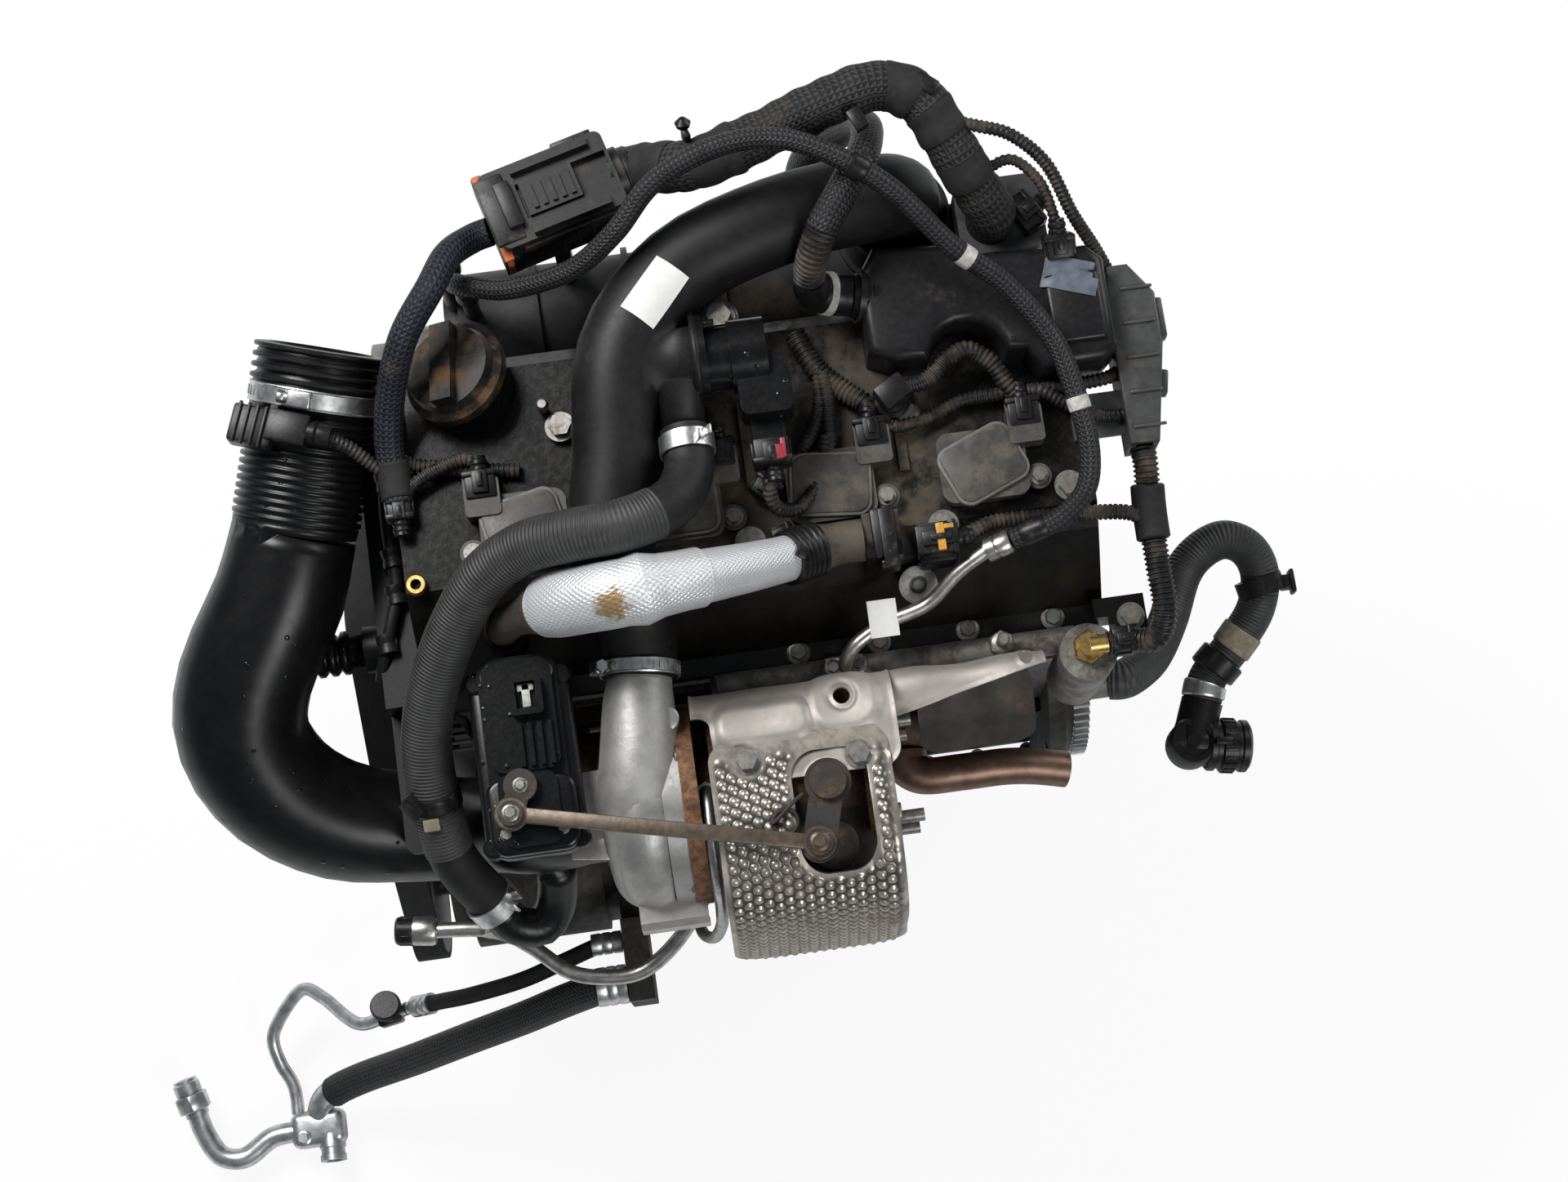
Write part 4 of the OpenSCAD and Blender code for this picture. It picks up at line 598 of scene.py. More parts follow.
def cover_dust(t, amount):
    """Dust that lies on the flat of the cam cover and thins out on its slope and its ends."""
    where = t.add("ShaderNodeSeparateXYZ", {0: t.add("ShaderNodeTexCoord").outputs["Object"]}).outputs
    flat = t.span(where["Y"], -0.052, -0.030, 0.1, 1.0)
    ends = t.math("MULTIPLY", t.span(where["X"], 0.075, 0.150, 1.0, 0.6),
                  t.span(where["X"], -0.135, -0.040, 0.3, 1.0))
    return t.math("MULTIPLY", t.math("MULTIPLY", flat, ends), amount)


def hot_tint(t, colour):
    """Straw and violet heat colours drifting over a steel pipe."""
    where = t.add("ShaderNodeTexCoord").outputs["Object"]
    drift = t.noise(where, 26.0, 3.0)
    return t.mix(t.span(drift, 0.35, 0.65), colour, (0.14, 0.078, 0.06, 1))


def build_finishes():
    """Every finish on the engine, by name."""
    look, size = finishes(), sizes()
    black, alloy, soot = look.black, look.alloy, look.soot
    more = look.dust_amount
    finish("gloss black", black, 0.32, amount=0.16 * more, scale=14, beads=0.05, grain=0.05)
    finish("valve black", (0.005, 0.005, 0.0055), 0.24, amount=0.22 * more, scale=34, coat=0.1, grain=0.06, beads=0.12)
    finish("satin black", (0.008, 0.008, 0.009), 0.36, amount=0.45 * more, scale=24, grain=0.12)
    finish("duct black", (0.007, 0.007, 0.0075), 0.5, amount=0.5 * more, scale=16, grain=0.34)
    finish("cover plastic", (0.009, 0.008, 0.007), 0.24, amount=1.7 * more, scale=19, grain=0.3, cover=cover_dust)
    finish("timing paint", (0.005, 0.005, 0.005), 0.42, amount=0.5 * more, scale=26, dirt=soot, grain=0.2)
    finish("cap plastic", (0.008, 0.0075, 0.007), 0.38, amount=1.15 * more, scale=42, dirt=(0.11, 0.058, 0.026),
           grain=0.25)
    finish("hose rubber", (0.010, 0.010, 0.011), 0.56, amount=0.55 * more, scale=34, grain=0.2)
    finish("ribbed sleeve", (0.031, 0.031, 0.030), 0.55, amount=0.8 * more, scale=28, pattern="ribs",
           pitch=size.sleeve_pitch, depth=1.0, grain=0.12, dirt=(0.075, 0.066, 0.056))
    # The braid finishes paint sheen and shade into the strands' colour
    finish("braided sleeve", (0.013, 0.013, 0.014), 0.46, amount=0.35 * more, scale=30, pattern="braid",
           pitch=size.braid_pitch, depth=0.9, grain=0.08)
    finish("loom braid", (0.013, 0.013, 0.013), 0.6, amount=0.8 * more, scale=26, pattern="braid",
           pitch=size.braid_pitch * 1.3, depth=1.0, grain=0.15)
    finish("blue loom", (0.009, 0.011, 0.017), 0.55, amount=0.55 * more, scale=30, pattern="braid",
           pitch=size.braid_pitch * 1.2, depth=1.0, grain=0.1)
    finish("conduit", (0.011, 0.011, 0.012), 0.42, amount=1.2 * more, scale=40, grain=0.1)
    finish("silver sleeve", (0.66, 0.67, 0.685), 0.42, metal=0.5, amount=0.15 * more, scale=24, pattern="weave",
           pitch=0.0036, depth=0.5, grain=0.03, dirt=(0.40, 0.38, 0.35), shade=torn_spot, wear=0.08)
    finish("brown rubber", (0.045, 0.034, 0.026), 0.75, amount=0.9 * more, scale=50, grain=0.3)
    finish("tan pipe", (0.03, 0.027, 0.022), 0.5, amount=1.6 * more, scale=40, grain=0.25)
    finish("cloth tape", (0.017, 0.017, 0.018), 0.72, amount=0.7 * more, scale=45, grain=0.5)
    finish("blue tape", (0.095, 0.11, 0.14), 0.5, amount=0.45 * more, scale=40, grain=0.2)
    finish("pale tape", (0.52, 0.50, 0.46), 0.6, amount=0.8 * more, scale=70, grain=0.2, dirt=(0.22, 0.18, 0.14))
    finish("tan tape", (0.30, 0.25, 0.18), 0.66, amount=0.8 * more, scale=60, grain=0.3)
    finish("blank label", (0.66, 0.65, 0.62), 0.45, amount=0.2 * more, scale=60, grain=0.05,
           dirt=(0.40, 0.36, 0.30), wear=0.06)
    finish("coil grey", (0.05, 0.046, 0.041), 0.45, amount=1.1 * more, scale=50, grain=0.2, dirt=(0.12, 0.094, 0.068))
    finish("coil rim", (0.13, 0.122, 0.11), 0.5, amount=0.9 * more, scale=60, grain=0.2, wear=0.3)
    finish("plug black", (0.008, 0.008, 0.009), 0.36, amount=0.75 * more, scale=60, grain=0.12)
    finish("plug grey", (0.013, 0.0135, 0.0145), 0.4, amount=0.9 * more, scale=50, grain=0.15)
    finish("orange seal", (0.48, 0.11, 0.03), 0.6, amount=0.5 * more, scale=90)
    finish("red lock", (0.28, 0.02, 0.035), 0.45, amount=0.4 * more, scale=90)
    finish("yellow lock", (0.55, 0.28, 0.03), 0.5, amount=0.4 * more, scale=90)
    finish("pale pins", (0.46, 0.47, 0.40), 0.5, amount=0.5 * more, scale=90)
    finish("olive plastic", (0.050, 0.051, 0.050), 0.38, amount=0.75 * more, scale=28, grain=0.2)
    finish("cast alloy", alloy, 0.45, metal=0.55, amount=0.6 * more, scale=34, grain=0.5, dirt=(0.15, 0.13, 0.11),
           wear=0.2)
    finish("dirty alloy", (0.25, 0.24, 0.222), 0.5, metal=0.5, amount=1.4 * more, scale=30, grain=0.5,
           dirt=(0.075, 0.06, 0.047))
    finish("block alloy", (0.075, 0.072, 0.067), 0.55, metal=0.4, amount=1.7 * more, scale=14, grain=0.5, dirt=soot)
    finish("sump paint", (0.016, 0.0165, 0.017), 0.45, amount=0.9 * more, scale=12, grain=0.3)
    finish("throttle alloy", (0.07, 0.07, 0.072), 0.5, metal=0.3, amount=0.9 * more, scale=30, grain=0.3)
    finish("manifold plastic", (0.018, 0.018, 0.019), 0.5, amount=1.0 * more, scale=18, grain=0.3)
    finish("belt rubber", (0.016, 0.016, 0.016), 0.75, amount=0.6 * more, scale=30, grain=0.3)
    finish("bright steel", (0.66, 0.66, 0.65), 0.38, metal=1.0, amount=0.35 * more, scale=60, grain=0.06,
           dirt=(0.26, 0.23, 0.19))
    finish("clip steel", (0.52, 0.48, 0.45), 0.42, metal=0.8, amount=0.7 * more, scale=40, grain=0.1, wear=0.2)
    finish("tube steel", (0.50, 0.485, 0.455), 0.33, metal=0.95, amount=0.6 * more, scale=44, grain=0.1,
           dirt=(0.24, 0.20, 0.16), rust=0.12)
    finish("tube alloy", (0.60, 0.61, 0.61), 0.34, metal=0.9, amount=0.45 * more, scale=40, grain=0.12,
           dirt=(0.32, 0.30, 0.27))
    finish("bolt steel", (0.29, 0.28, 0.26), 0.42, metal=0.9, amount=0.75 * more, scale=70, grain=0.2, rust=0.3,
           rust_scale=90)
    finish("pulley steel", (0.11, 0.11, 0.11), 0.4, metal=0.7, amount=0.7 * more, scale=30, grain=0.2, rust=0.25)
    finish("machined steel", (0.42, 0.42, 0.42), 0.34, metal=0.95, amount=0.4 * more, scale=30, grain=0.15, rust=0.2)
    finish("brass", (0.55, 0.37, 0.13), 0.34, metal=0.95, amount=0.5 * more, scale=80, grain=0.1)
    finish("rusty plate", (0.20, 0.12, 0.08), 0.72, metal=0.4, amount=0.35 * more, scale=40, grain=0.5, rust=1.0,
           rust_scale=34)
    finish("hot iron", (0.042, 0.033, 0.027), 0.7, metal=0.3, amount=0.9 * more, scale=28, grain=0.6, rust=0.45,
           rust_scale=26, dirt=(0.06, 0.045, 0.034))
    finish("lever iron", (0.030, 0.023, 0.018), 0.6, metal=0.3, amount=0.8 * more, scale=50, grain=0.5, rust=0.25,
           rust_scale=60, dirt=(0.06, 0.045, 0.034))
    finish("link steel", (0.125, 0.095, 0.072), 0.42, metal=0.6, amount=0.6 * more, scale=60, grain=0.3, rust=0.2,
           rust_scale=55)
    # Its dimples pattern paints shade into the valleys of the dimples
    finish("dimpled sheet", (0.45, 0.41, 0.36), 0.3, metal=0.7, amount=1.0 * more, scale=24, grain=0.1,
           pattern="dimples", dirt=(0.17, 0.125, 0.09), wear=0.25)
    # Painted shade: a dark sheet colour that stands for the shade under the shield's wing, with some rust and dust
    finish("painted shade sheet", (0.05, 0.042, 0.035), 0.6, metal=0.4, amount=0.8 * more, scale=24, grain=0.2, rust=0.2)
    finish("plain sheet", (0.40, 0.365, 0.335), 0.54, metal=0.65, amount=0.8 * more, scale=16, grain=0.1,
           dirt=(0.30, 0.235, 0.175), rust=0.06, rust_scale=18, wear=0.2)
    finish("tinted pipe", (0.20, 0.125, 0.092), 0.42, metal=0.7, amount=0.5 * more, scale=30, grain=0.15,
           shade=hot_tint, rust=0.12)
    finish("rotor alloy", (0.60, 0.60, 0.60), 0.25, metal=1.0, amount=0.15 * more, scale=40, grain=0.05)


# Routes in millimetres, as the solids have them

HEATER = [(214.6, -122, 438), (226, -122, 438), (246, -108, 421), (264, -82, 405), (279, -52, 401), (294, -38, 402),
          (311, -33, 402), (326, -41, 398), (332, -58, 392), (326, -80, 384), (308, -101, 376), (290, -118, 371),
          (283.4, -133.4, 369.1)]
SUCTION = [(-128.6, -256, 234), (-146, -256, 234), (-174, -260, 214), (-208, -266, 184), (-250, -272, 148),
           (-297, -279, 106), (-338, -284, 70), (-360, -288, 51), (-370, -291, 42.4)]
LIQUID = [(-128.5, -226, 234), (-142, -226, 234), (-172, -233, 219), (-205, -240, 196), (-245, -243, 166),
          (-268, -243, 149), (-278, -243, 142)]
LIQUID_TUBE = [(-297, -243, 128.3), (-318, -246, 112), (-340, -246, 96), (-366, -222, 72), (-382, -212, 60),
               (-398, -222, 48), (-413, -242, 36), (-411, -262, 29), (-404, -278, 25), (-402, -290, 24),
               (-402, -303, 24)]
SECOND_TUBE = [(-404, -316, 24), (-424, -318, 23), (-446, -330, 22), (-464, -326, 23), (-474, -308, 26),
               (-478, -292, 29)]
RECIRC = [(-36.5, 32, 621), (-36.5, 16, 623), (-38, 4, 626), (-47, -12, 634), (-65, -22, 642), (-86, -27, 646),
          (-112, -27, 641), (-142, -28, 626), (-172, -42, 605), (-202, -78, 568), (-218, -114, 536),
          (-220, -152, 508), (-215, -184, 483), (-200, -207, 455), (-194.5, -214.5, 447.5)]
VENT = [(-162, -60, 552.3, 10), (-162, -60, 566, 10), (-156, -60, 585, 11), (-143, -60, 599, 13), (-128, -61, 613, 19),
        (-108, -63, 628, 20), (-84, -64, 637, 20), (-50, -60, 629, 18), (-10, -52, 604, 16), (14, -46, 587, 15),
        (27, -42, 580, 16.5), (40, -39, 574.5, 13.5), (50, -38, 573, 13), (61.7, -38, 573, 13)]
BREATHER = [(75.4, 112.1, 586.1, 13), (65, 113.9, 587.9, 13), (54, 115, 595, 12), (50, 117, 610, 10),
            (53, 125, 630, 10),
            (60, 137, 643, 10), (70, 150, 648, 10), (81, 165, 648, 10), (92, 182, 642, 10), (98, 204, 620, 10),
            (96, 220, 588, 10), (84, 228, 556, 10), (68, 230, 526, 10), (61, 226, 501, 10), (60, 215, 490, 10),
            (60, 200, 490, 10)]
TRUNK = [(-56.9, 200.5, 606), (-45.3, 203.6, 606), (-28, 198, 619), (-8, 192, 633), (16, 197, 639), (44, 205, 643),
         (80, 216, 648), (109, 220, 648), (131, 209, 643), (143, 188, 634), (155, 166, 620), (166, 152, 602),
         (168, 150, 592), (168, 150, 579.4)]
PURGE = [(151.5, -50.9, 575.2), (163, -48.4, 579.7), (180, -44, 584), (197, -31, 589), (203, -11, 595), (201, 18, 602),
         (191, 59, 611), (166, 94, 624), (136, 117, 640), (103, 151, 660), (67, 175, 672), (36, 186, 676),
         (1, 185, 674), (-36, 172, 664), (-62, 150, 650), (-91, 138, 628), (-130, 138, 608), (-155, 146, 600),
         (-164, 154, 584), (-160, 158, 560), (-160, 158, 541.3)]
LEFT = [(-138, 178.7, 600), (-149.6, 175.6, 600), (-164, 161, 617), (-176, 138, 629), (-196, 112, 621), (-210, 86, 594),
        (-216, 62, 577), (-216, 44, 570), (-215, 24, 569.3)]
MIDDLE = [(39, 98, 567.4), (48, 76, 567.4), (64, 58, 567.4), (76, 46, 569), (76, 32.7, 569)]
RIGHT = [(241, -2.6, 560), (241, -14, 560), (240, -40, 552), (240, -74, 549), (240, -102, 546), (233, -116, 537),
         (219, -114, 530), (204.4, -114, 530)]
OIL_FEED = [(-53.5, -174, 535.4), (-53.5, -174, 548), (-53.5, -184, 556), (-53.5, -206, 556), (-53.5, -228, 540),
            (-54, -242, 500), (-56, -246, 450), (-62, -248, 404), (-70, -238, 352), (-72, -214, 334),
            (-72, -150, 330), (-72, -108, 330), (-72, -92.4, 330)]
OIL_LINE = [(-245, -219.6, 420, 5), (-202, -225, 420, 5), (-180, -238, 416, 5), (-158, -257, 411, 5),
            (-136, -264, 410, 5), (-112, -264, 411, 5), (-90, -252, 418, 5), (-68, -230, 434, 4.5),
            (-56, -208, 444, 4), (-53.5, -184, 448, 4), (-53.5, -174, 458, 4), (-53.5, -174, 474.6, 4)]
RETURN_PIPE = [(74, -148.4, 424), (74, -156, 424), (86, -165, 423), (112, -166, 422), (140, -166, 420),
               (160, -168, 416),
               (180, -172, 411)]
PURGE_PIPE = [(42, -104, 519.6), (42, -104, 532), (50, -95, 541), (70, -85, 544), (96, -78, 549), (116, -64, 561),
              (134, -54.7, 568.4), (136, -54.2, 569.2)]


def cut(stations, low, high):
    """Part of a hose's stations, by share of its length."""
    n = len(stations) - 1
    return stations[round(low * n):round(high * n) + 1]


def band(stations, share, length, grow):
    """A short run of stations at a share of the length, a little thicker than the hose."""
    mid = round(share * (len(stations) - 1))
    step = (stations[1][0] - stations[0][0]).length
    half = max(1, round(length / step / 2))
    run = stations[max(0, mid - half):mid + half + 1]
    return [(p, r + (grow if 0 < i < len(run) - 1 else grow * 0.55)) for i, (p, r) in enumerate(run)]


class ENGINE_OT_stage(bpy.types.Operator):
    """Camera, floor and soft studio light"""
    bl_idname = "engine.stage"
    bl_label = "Stage"

    def execute(self, context):
        a, e = radians(AZIMUTH), radians(ELEVATION)
        back = Vector((sin(a) * cos(e), -cos(a) * cos(e), sin(e)))
        data = bpy.data.cameras.new("photo_camera")
        data.lens, data.sensor_width, data.clip_end = LENS, 36.0, 30.0
        camera = bpy.data.objects.new("photo_camera", data)
        camera.location = CAMERA_TARGET + back * CAMERA_DISTANCE
        camera.rotation_euler = back.to_track_quat("Z", "Y").to_euler()
        context.scene.collection.objects.link(camera)
        context.scene.camera = camera

        bm = bmesh.new()
        bmesh.ops.create_grid(bm, x_segments=8, y_segments=8, size=6.0)
        bmesh.ops.translate(bm, vec=(0, 0, CAD_BOX[0][2] - 0.0005), verts=bm.verts)
        mesh = bpy.data.meshes.new("floor")
        bm.to_mesh(mesh)
        bm.free()
        floor = bpy.data.objects.new("floor", mesh)
        context.scene.collection.objects.link(floor)
        material = bpy.data.materials.new("studio floor")
        material.use_nodes = True
        t = Tree(material.node_tree)
        links = material.node_tree.links
        material.node_tree.nodes.remove(material.node_tree.nodes["Principled BSDF"])
        matte = t.add("ShaderNodeBsdfDiffuse", {"Color": (0.86, 0.86, 0.86, 1)})
        glow = t.add("ShaderNodeEmission", {"Color": (1, 1, 1, 1), "Strength": 1.0})
        seen = t.add("ShaderNodeLightPath").outputs["Is Camera Ray"]
        blend = t.add("ShaderNodeMixShader", {0: t.math("MULTIPLY", seen, 0.9)})
        links.new(matte.outputs[0], blend.inputs[1])
        links.new(glow.outputs[0], blend.inputs[2])
        links.new(blend.outputs[0], material.node_tree.nodes["Material Output"].inputs["Surface"])
        mesh.materials.append(material)

        world = bpy.data.worlds.new("studio")
        world.use_nodes = True
        t = Tree(world.node_tree)
        camera_ray = t.add("ShaderNodeLightPath").outputs["Is Camera Ray"]
        sky = world.node_tree.nodes["Background"].inputs
        world.node_tree.links.new(t.mix(camera_ray, (0.80, 0.91, 1.0, 1), (1, 1, 1, 1)), sky["Color"])
        world.node_tree.links.new(t.math("MAXIMUM", camera_ray, 0.15), sky["Strength"])
        context.scene.world = world
        for name, place, aim, power, size in (
                ("key", (-0.80, 0.85, 2.0), (0, 0, 0.45), 46.0, 0.8),
                ("front", (0.7, -1.5, 1.9), (0, -0.1, 0.45), 20.0, 0.8),
                ("edge", (1.6, 0.9, 1.4), (0, 0, 0.45), 14.0, 0.9)):
            lamp = bpy.data.lights.new(name, "AREA")
            lamp.energy, lamp.size = power, size
            obj = bpy.data.objects.new(name, lamp)
            obj.location = place
            obj.rotation_euler = (Vector(place) - Vector(aim)).to_track_quat("Z", "Y").to_euler()
            context.scene.collection.objects.link(obj)
        context.scene.view_settings.view_transform = "Standard"
        return {"FINISHED"}


def free_hose(name, route, radius, finish_name, node):
    """A hose with one free end, swept along its route in place of its solid."""
    stations = along(route, 2.0, radius)
    bm = bmesh.new()
    sweep(bm, stations)
    obj = piece(name, bm, finish_name)
    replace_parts(obj, node)


class ENGINE_OT_free_hoses(bpy.types.Operator):
    """Heater hose and air-conditioning lines, which end free"""
    bl_idname = "engine.free_hoses"
    bl_label = "Free hoses"

    def execute(self, context):
        stations = along(HEATER, 1.0, 13)
        for name, share, length, grow, finish_name in (
                ("heater_tape", 0.83, 16, 1.2, "tan tape"), ("heater_cuff", 0.905, 14, 3.2, "plug black"),
                ("heater_band", 0.975, 9, 1.6, "bright steel")):
            bm = bmesh.new()
            sweep(bm, band(stations, share, length, grow))
            piece(name, bm, finish_name)
        bm = bmesh.new()
        p, _ = stations[round(0.69 * (len(stations) - 1))]
        lathe(bm, [(13.4, -6), (16, -6), (16, 6), (13.4, 6), (13.4, -6)], at(p, (0.2, -0.95, -0.2)))
        box(bm, (9, 10, 9), spun(p + Vector((17.5, 0, 0)), 0), 1.5)
        box(bm, (3, 16, 12), spun(p + Vector((21.5, 0, 0)), 0), 1)
        piece("heater_clip", bm, "plug black")
        bm = bmesh.new()
        sweep(bm, along([(283.3, -133.6, 369, 14), (277, -149, 367, 14), (274, -158, 366, 14.5),
                         (279, -162.4, 365, 14.5),
                         (290, -164.2, 364, 14)], 1.5))
        lathe(bm, [(0, -16), (15, -16), (16, -15), (16, 12), (14.5, 14), (11, 14), (11, 12.6), (4.6, 12.6), (4.6, 14.4),
                   (0, 14.4)], at((272, -160.5, 366)))
        socket = at((281, -162.7, 364.8), (48.2, -7.7, -4.9))
        lathe(bm, [(0, 0), (16, 0), (17.4, 1.4), (17.4, 5), (15.8, 6), (15.8, 9), (18, 10), (18, 19), (16.4, 20),
                   (16.4, 22), (17.6, 23), (17.6, 27), (15, 29), (12.4, 29), (11.6, 20), (0, 20)], socket, 48)
        for k in range(20):
            box(bm, (1.6, 2.4, 8), socket @ about_z(18 * k) @ shift(18, 0, 14.5),
                0.4, 1)
        for s in (-1, 1):
            box(bm, (5, 10, 12), socket @ shift(0, 17.4 * s, 8), 1.2)
        connector = piece("heater_quick_connector", bm, "plug black")
        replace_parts(connector, "heater_connector")
        free_hose("heater_hose_sleeve", HEATER, 13, "ribbed sleeve", "heater_hose")

        bm = bmesh.new()
        sweep(bm, along(LIQUID_TUBE, 2.0, 5), 20)
        sweep(bm, along(SECOND_TUBE, 2.0, 8), 20)
        box(bm, (42, 28, 20), spun((-387, -316, 24), 0), 7, 5)
        lathe(bm, [(0, 0), (9, 0), (10, 2), (10, 12), (9, 12.5), (9, 17), (10, 17.5), (10, 22), (6.5, 22), (6, 8),
                   (0, 8)], at((-378, -320, 24), (0, -22, 2)))
        sweep(bm, along([(-370.3, -291.1, 42.1, 10), (-376, -293, 37.5, 10), (-382, -298, 32, 9.5),
                         (-386, -305, 27, 9)],
                        1.5), 20)
        lathe(bm, [(0, -2), (9, -2), (9, 15.5), (10.2, 16), (10.2, 24), (9, 25), (9, 27), (6, 27.5), (0, 27.5)],
              at((-478.1, -291.6, 29.1), (-3.9, 15.6, 2.9)))
        hexagon(bm, 13.4, 13, at((-478.6, -289.6, 29.5), (-3.9, 15.6, 2.9)), 1)
        bolt(bm, (-398, -322, 34), (0, 0, 1), 4)
        fittings = piece("line_fittings", bm, "tube alloy")
        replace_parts(fittings, "ac_fittings")
        bm = bmesh.new()
        lathe(bm, [(6.1, -1), (8, -1), (8, 2), (7.3, 3), (8, 5), (8, 8), (7.3, 9), (8, 11), (8, 16), (5.2, 19), (5, 22),
                   (4.9, 22)], at((-278, -243, 142), (-18, 0, -13.5)))
        crimp = piece("liquid_crimp", bm, "tube alloy")
        bm = bmesh.new()
        lathe(bm, [(0, 8), (8, 8), (9.5, 10), (9.5, 18), (11.5, 18.5), (11.5, 22), (10, 24), (0, 24)],
              at((-312, -245, 117), (0, 0.25, 0.97)))
        box(bm, (18, 15, 22), spun((-312, -245, 117), 10), 2)
        clip = piece("liquid_clip", bm, "plug black")
        free_hose("liquid_hose", LIQUID, 6, "hose rubber", "ac_liquid_hose")
        free_hose("suction_hose", SUCTION, 12, "braided sleeve", "ac_suction_hose")
        bm = bmesh.new()
        for y, r in ((-256, 12), (-226, 6)):
            lathe(bm, [(r + 0.1, 22), (r + 1.6, 22), (r + 1.9, 16), (r + 1.2, 14.5), (r + 1.9, 13), (r + 1.9, 9),
                       (r + 1.2, 7.5), (r + 1.9, 6), (r + 1.9, 0.5), (r + 0.1, 0.5), (r + 0.1, 22)],
                  at((-128.5, y, 234), (-1, 0, 0)))
        piece("hose_ferrules", bm, "bright steel")
        return {"FINISHED"}


NODE_FINISH = {
    "oil_pan": "sump paint", "engine_block": "block alloy", "cylinder_head": "dirty alloy",
    "cam_cover": "cover plastic",
    "timing_cover": "timing paint", "crankshaft": "machined steel", "crank_pulley": "pulley steel",
    "flexplate": "machined steel", "crank_bolts": "bolt steel", "accessory_belt": "belt rubber",
    "alternator": "dirty alloy", "alternator_pulley": "machined steel", "ac_compressor": "block alloy",
    "ac_pulley": "pulley steel", "water_pump_pulley": "pulley steel", "belt_tensioner": "cast alloy",
    "tensioner_pulley": "plug black", "intake_manifold": "manifold plastic", "throttle_body": "throttle alloy",
    "recirculation_valve": "valve black", "ignition_coil_1": "coil grey", "ignition_coil_2": "coil grey",
    "ignition_coil_3": "coil grey", "ignition_coil_4": "coil grey", "oil_filler_cap": "cap plastic",
    "ecu_connector": "plug grey", "ecu_connector_slide": "plug grey", "harness_guide": "olive plastic",
    "coolant_gallery": "dirty alloy", "coolant_sensor": "brass", "exhaust_manifold": "hot iron",
    "manifold_shield": "plain sheet", "turbine_shield": "dimpled sheet", "compressor_housing": "cast alloy",
    "center_housing": "rusty plate", "turbine_housing": "hot iron", "turbo_rotor": "rotor alloy",
    "wastegate_actuator": "valve black", "actuator_arm": "lever iron", "link_rod": "link steel",
    "wastegate_lever": "lever iron", "cover_bolts": "bolt steel"}


class ENGINE_OT_solids(bpy.types.Operator):
    """Finishes of the solids that keep their own shape"""
    bl_idname = "engine.solids"
    bl_label = "Solids"

    def execute(self, context):
        for node, name in NODE_FINISH.items():
            for slot in NODES[node].material_slots:
                slot.material = MADE[name]
        return {"FINISHED"}


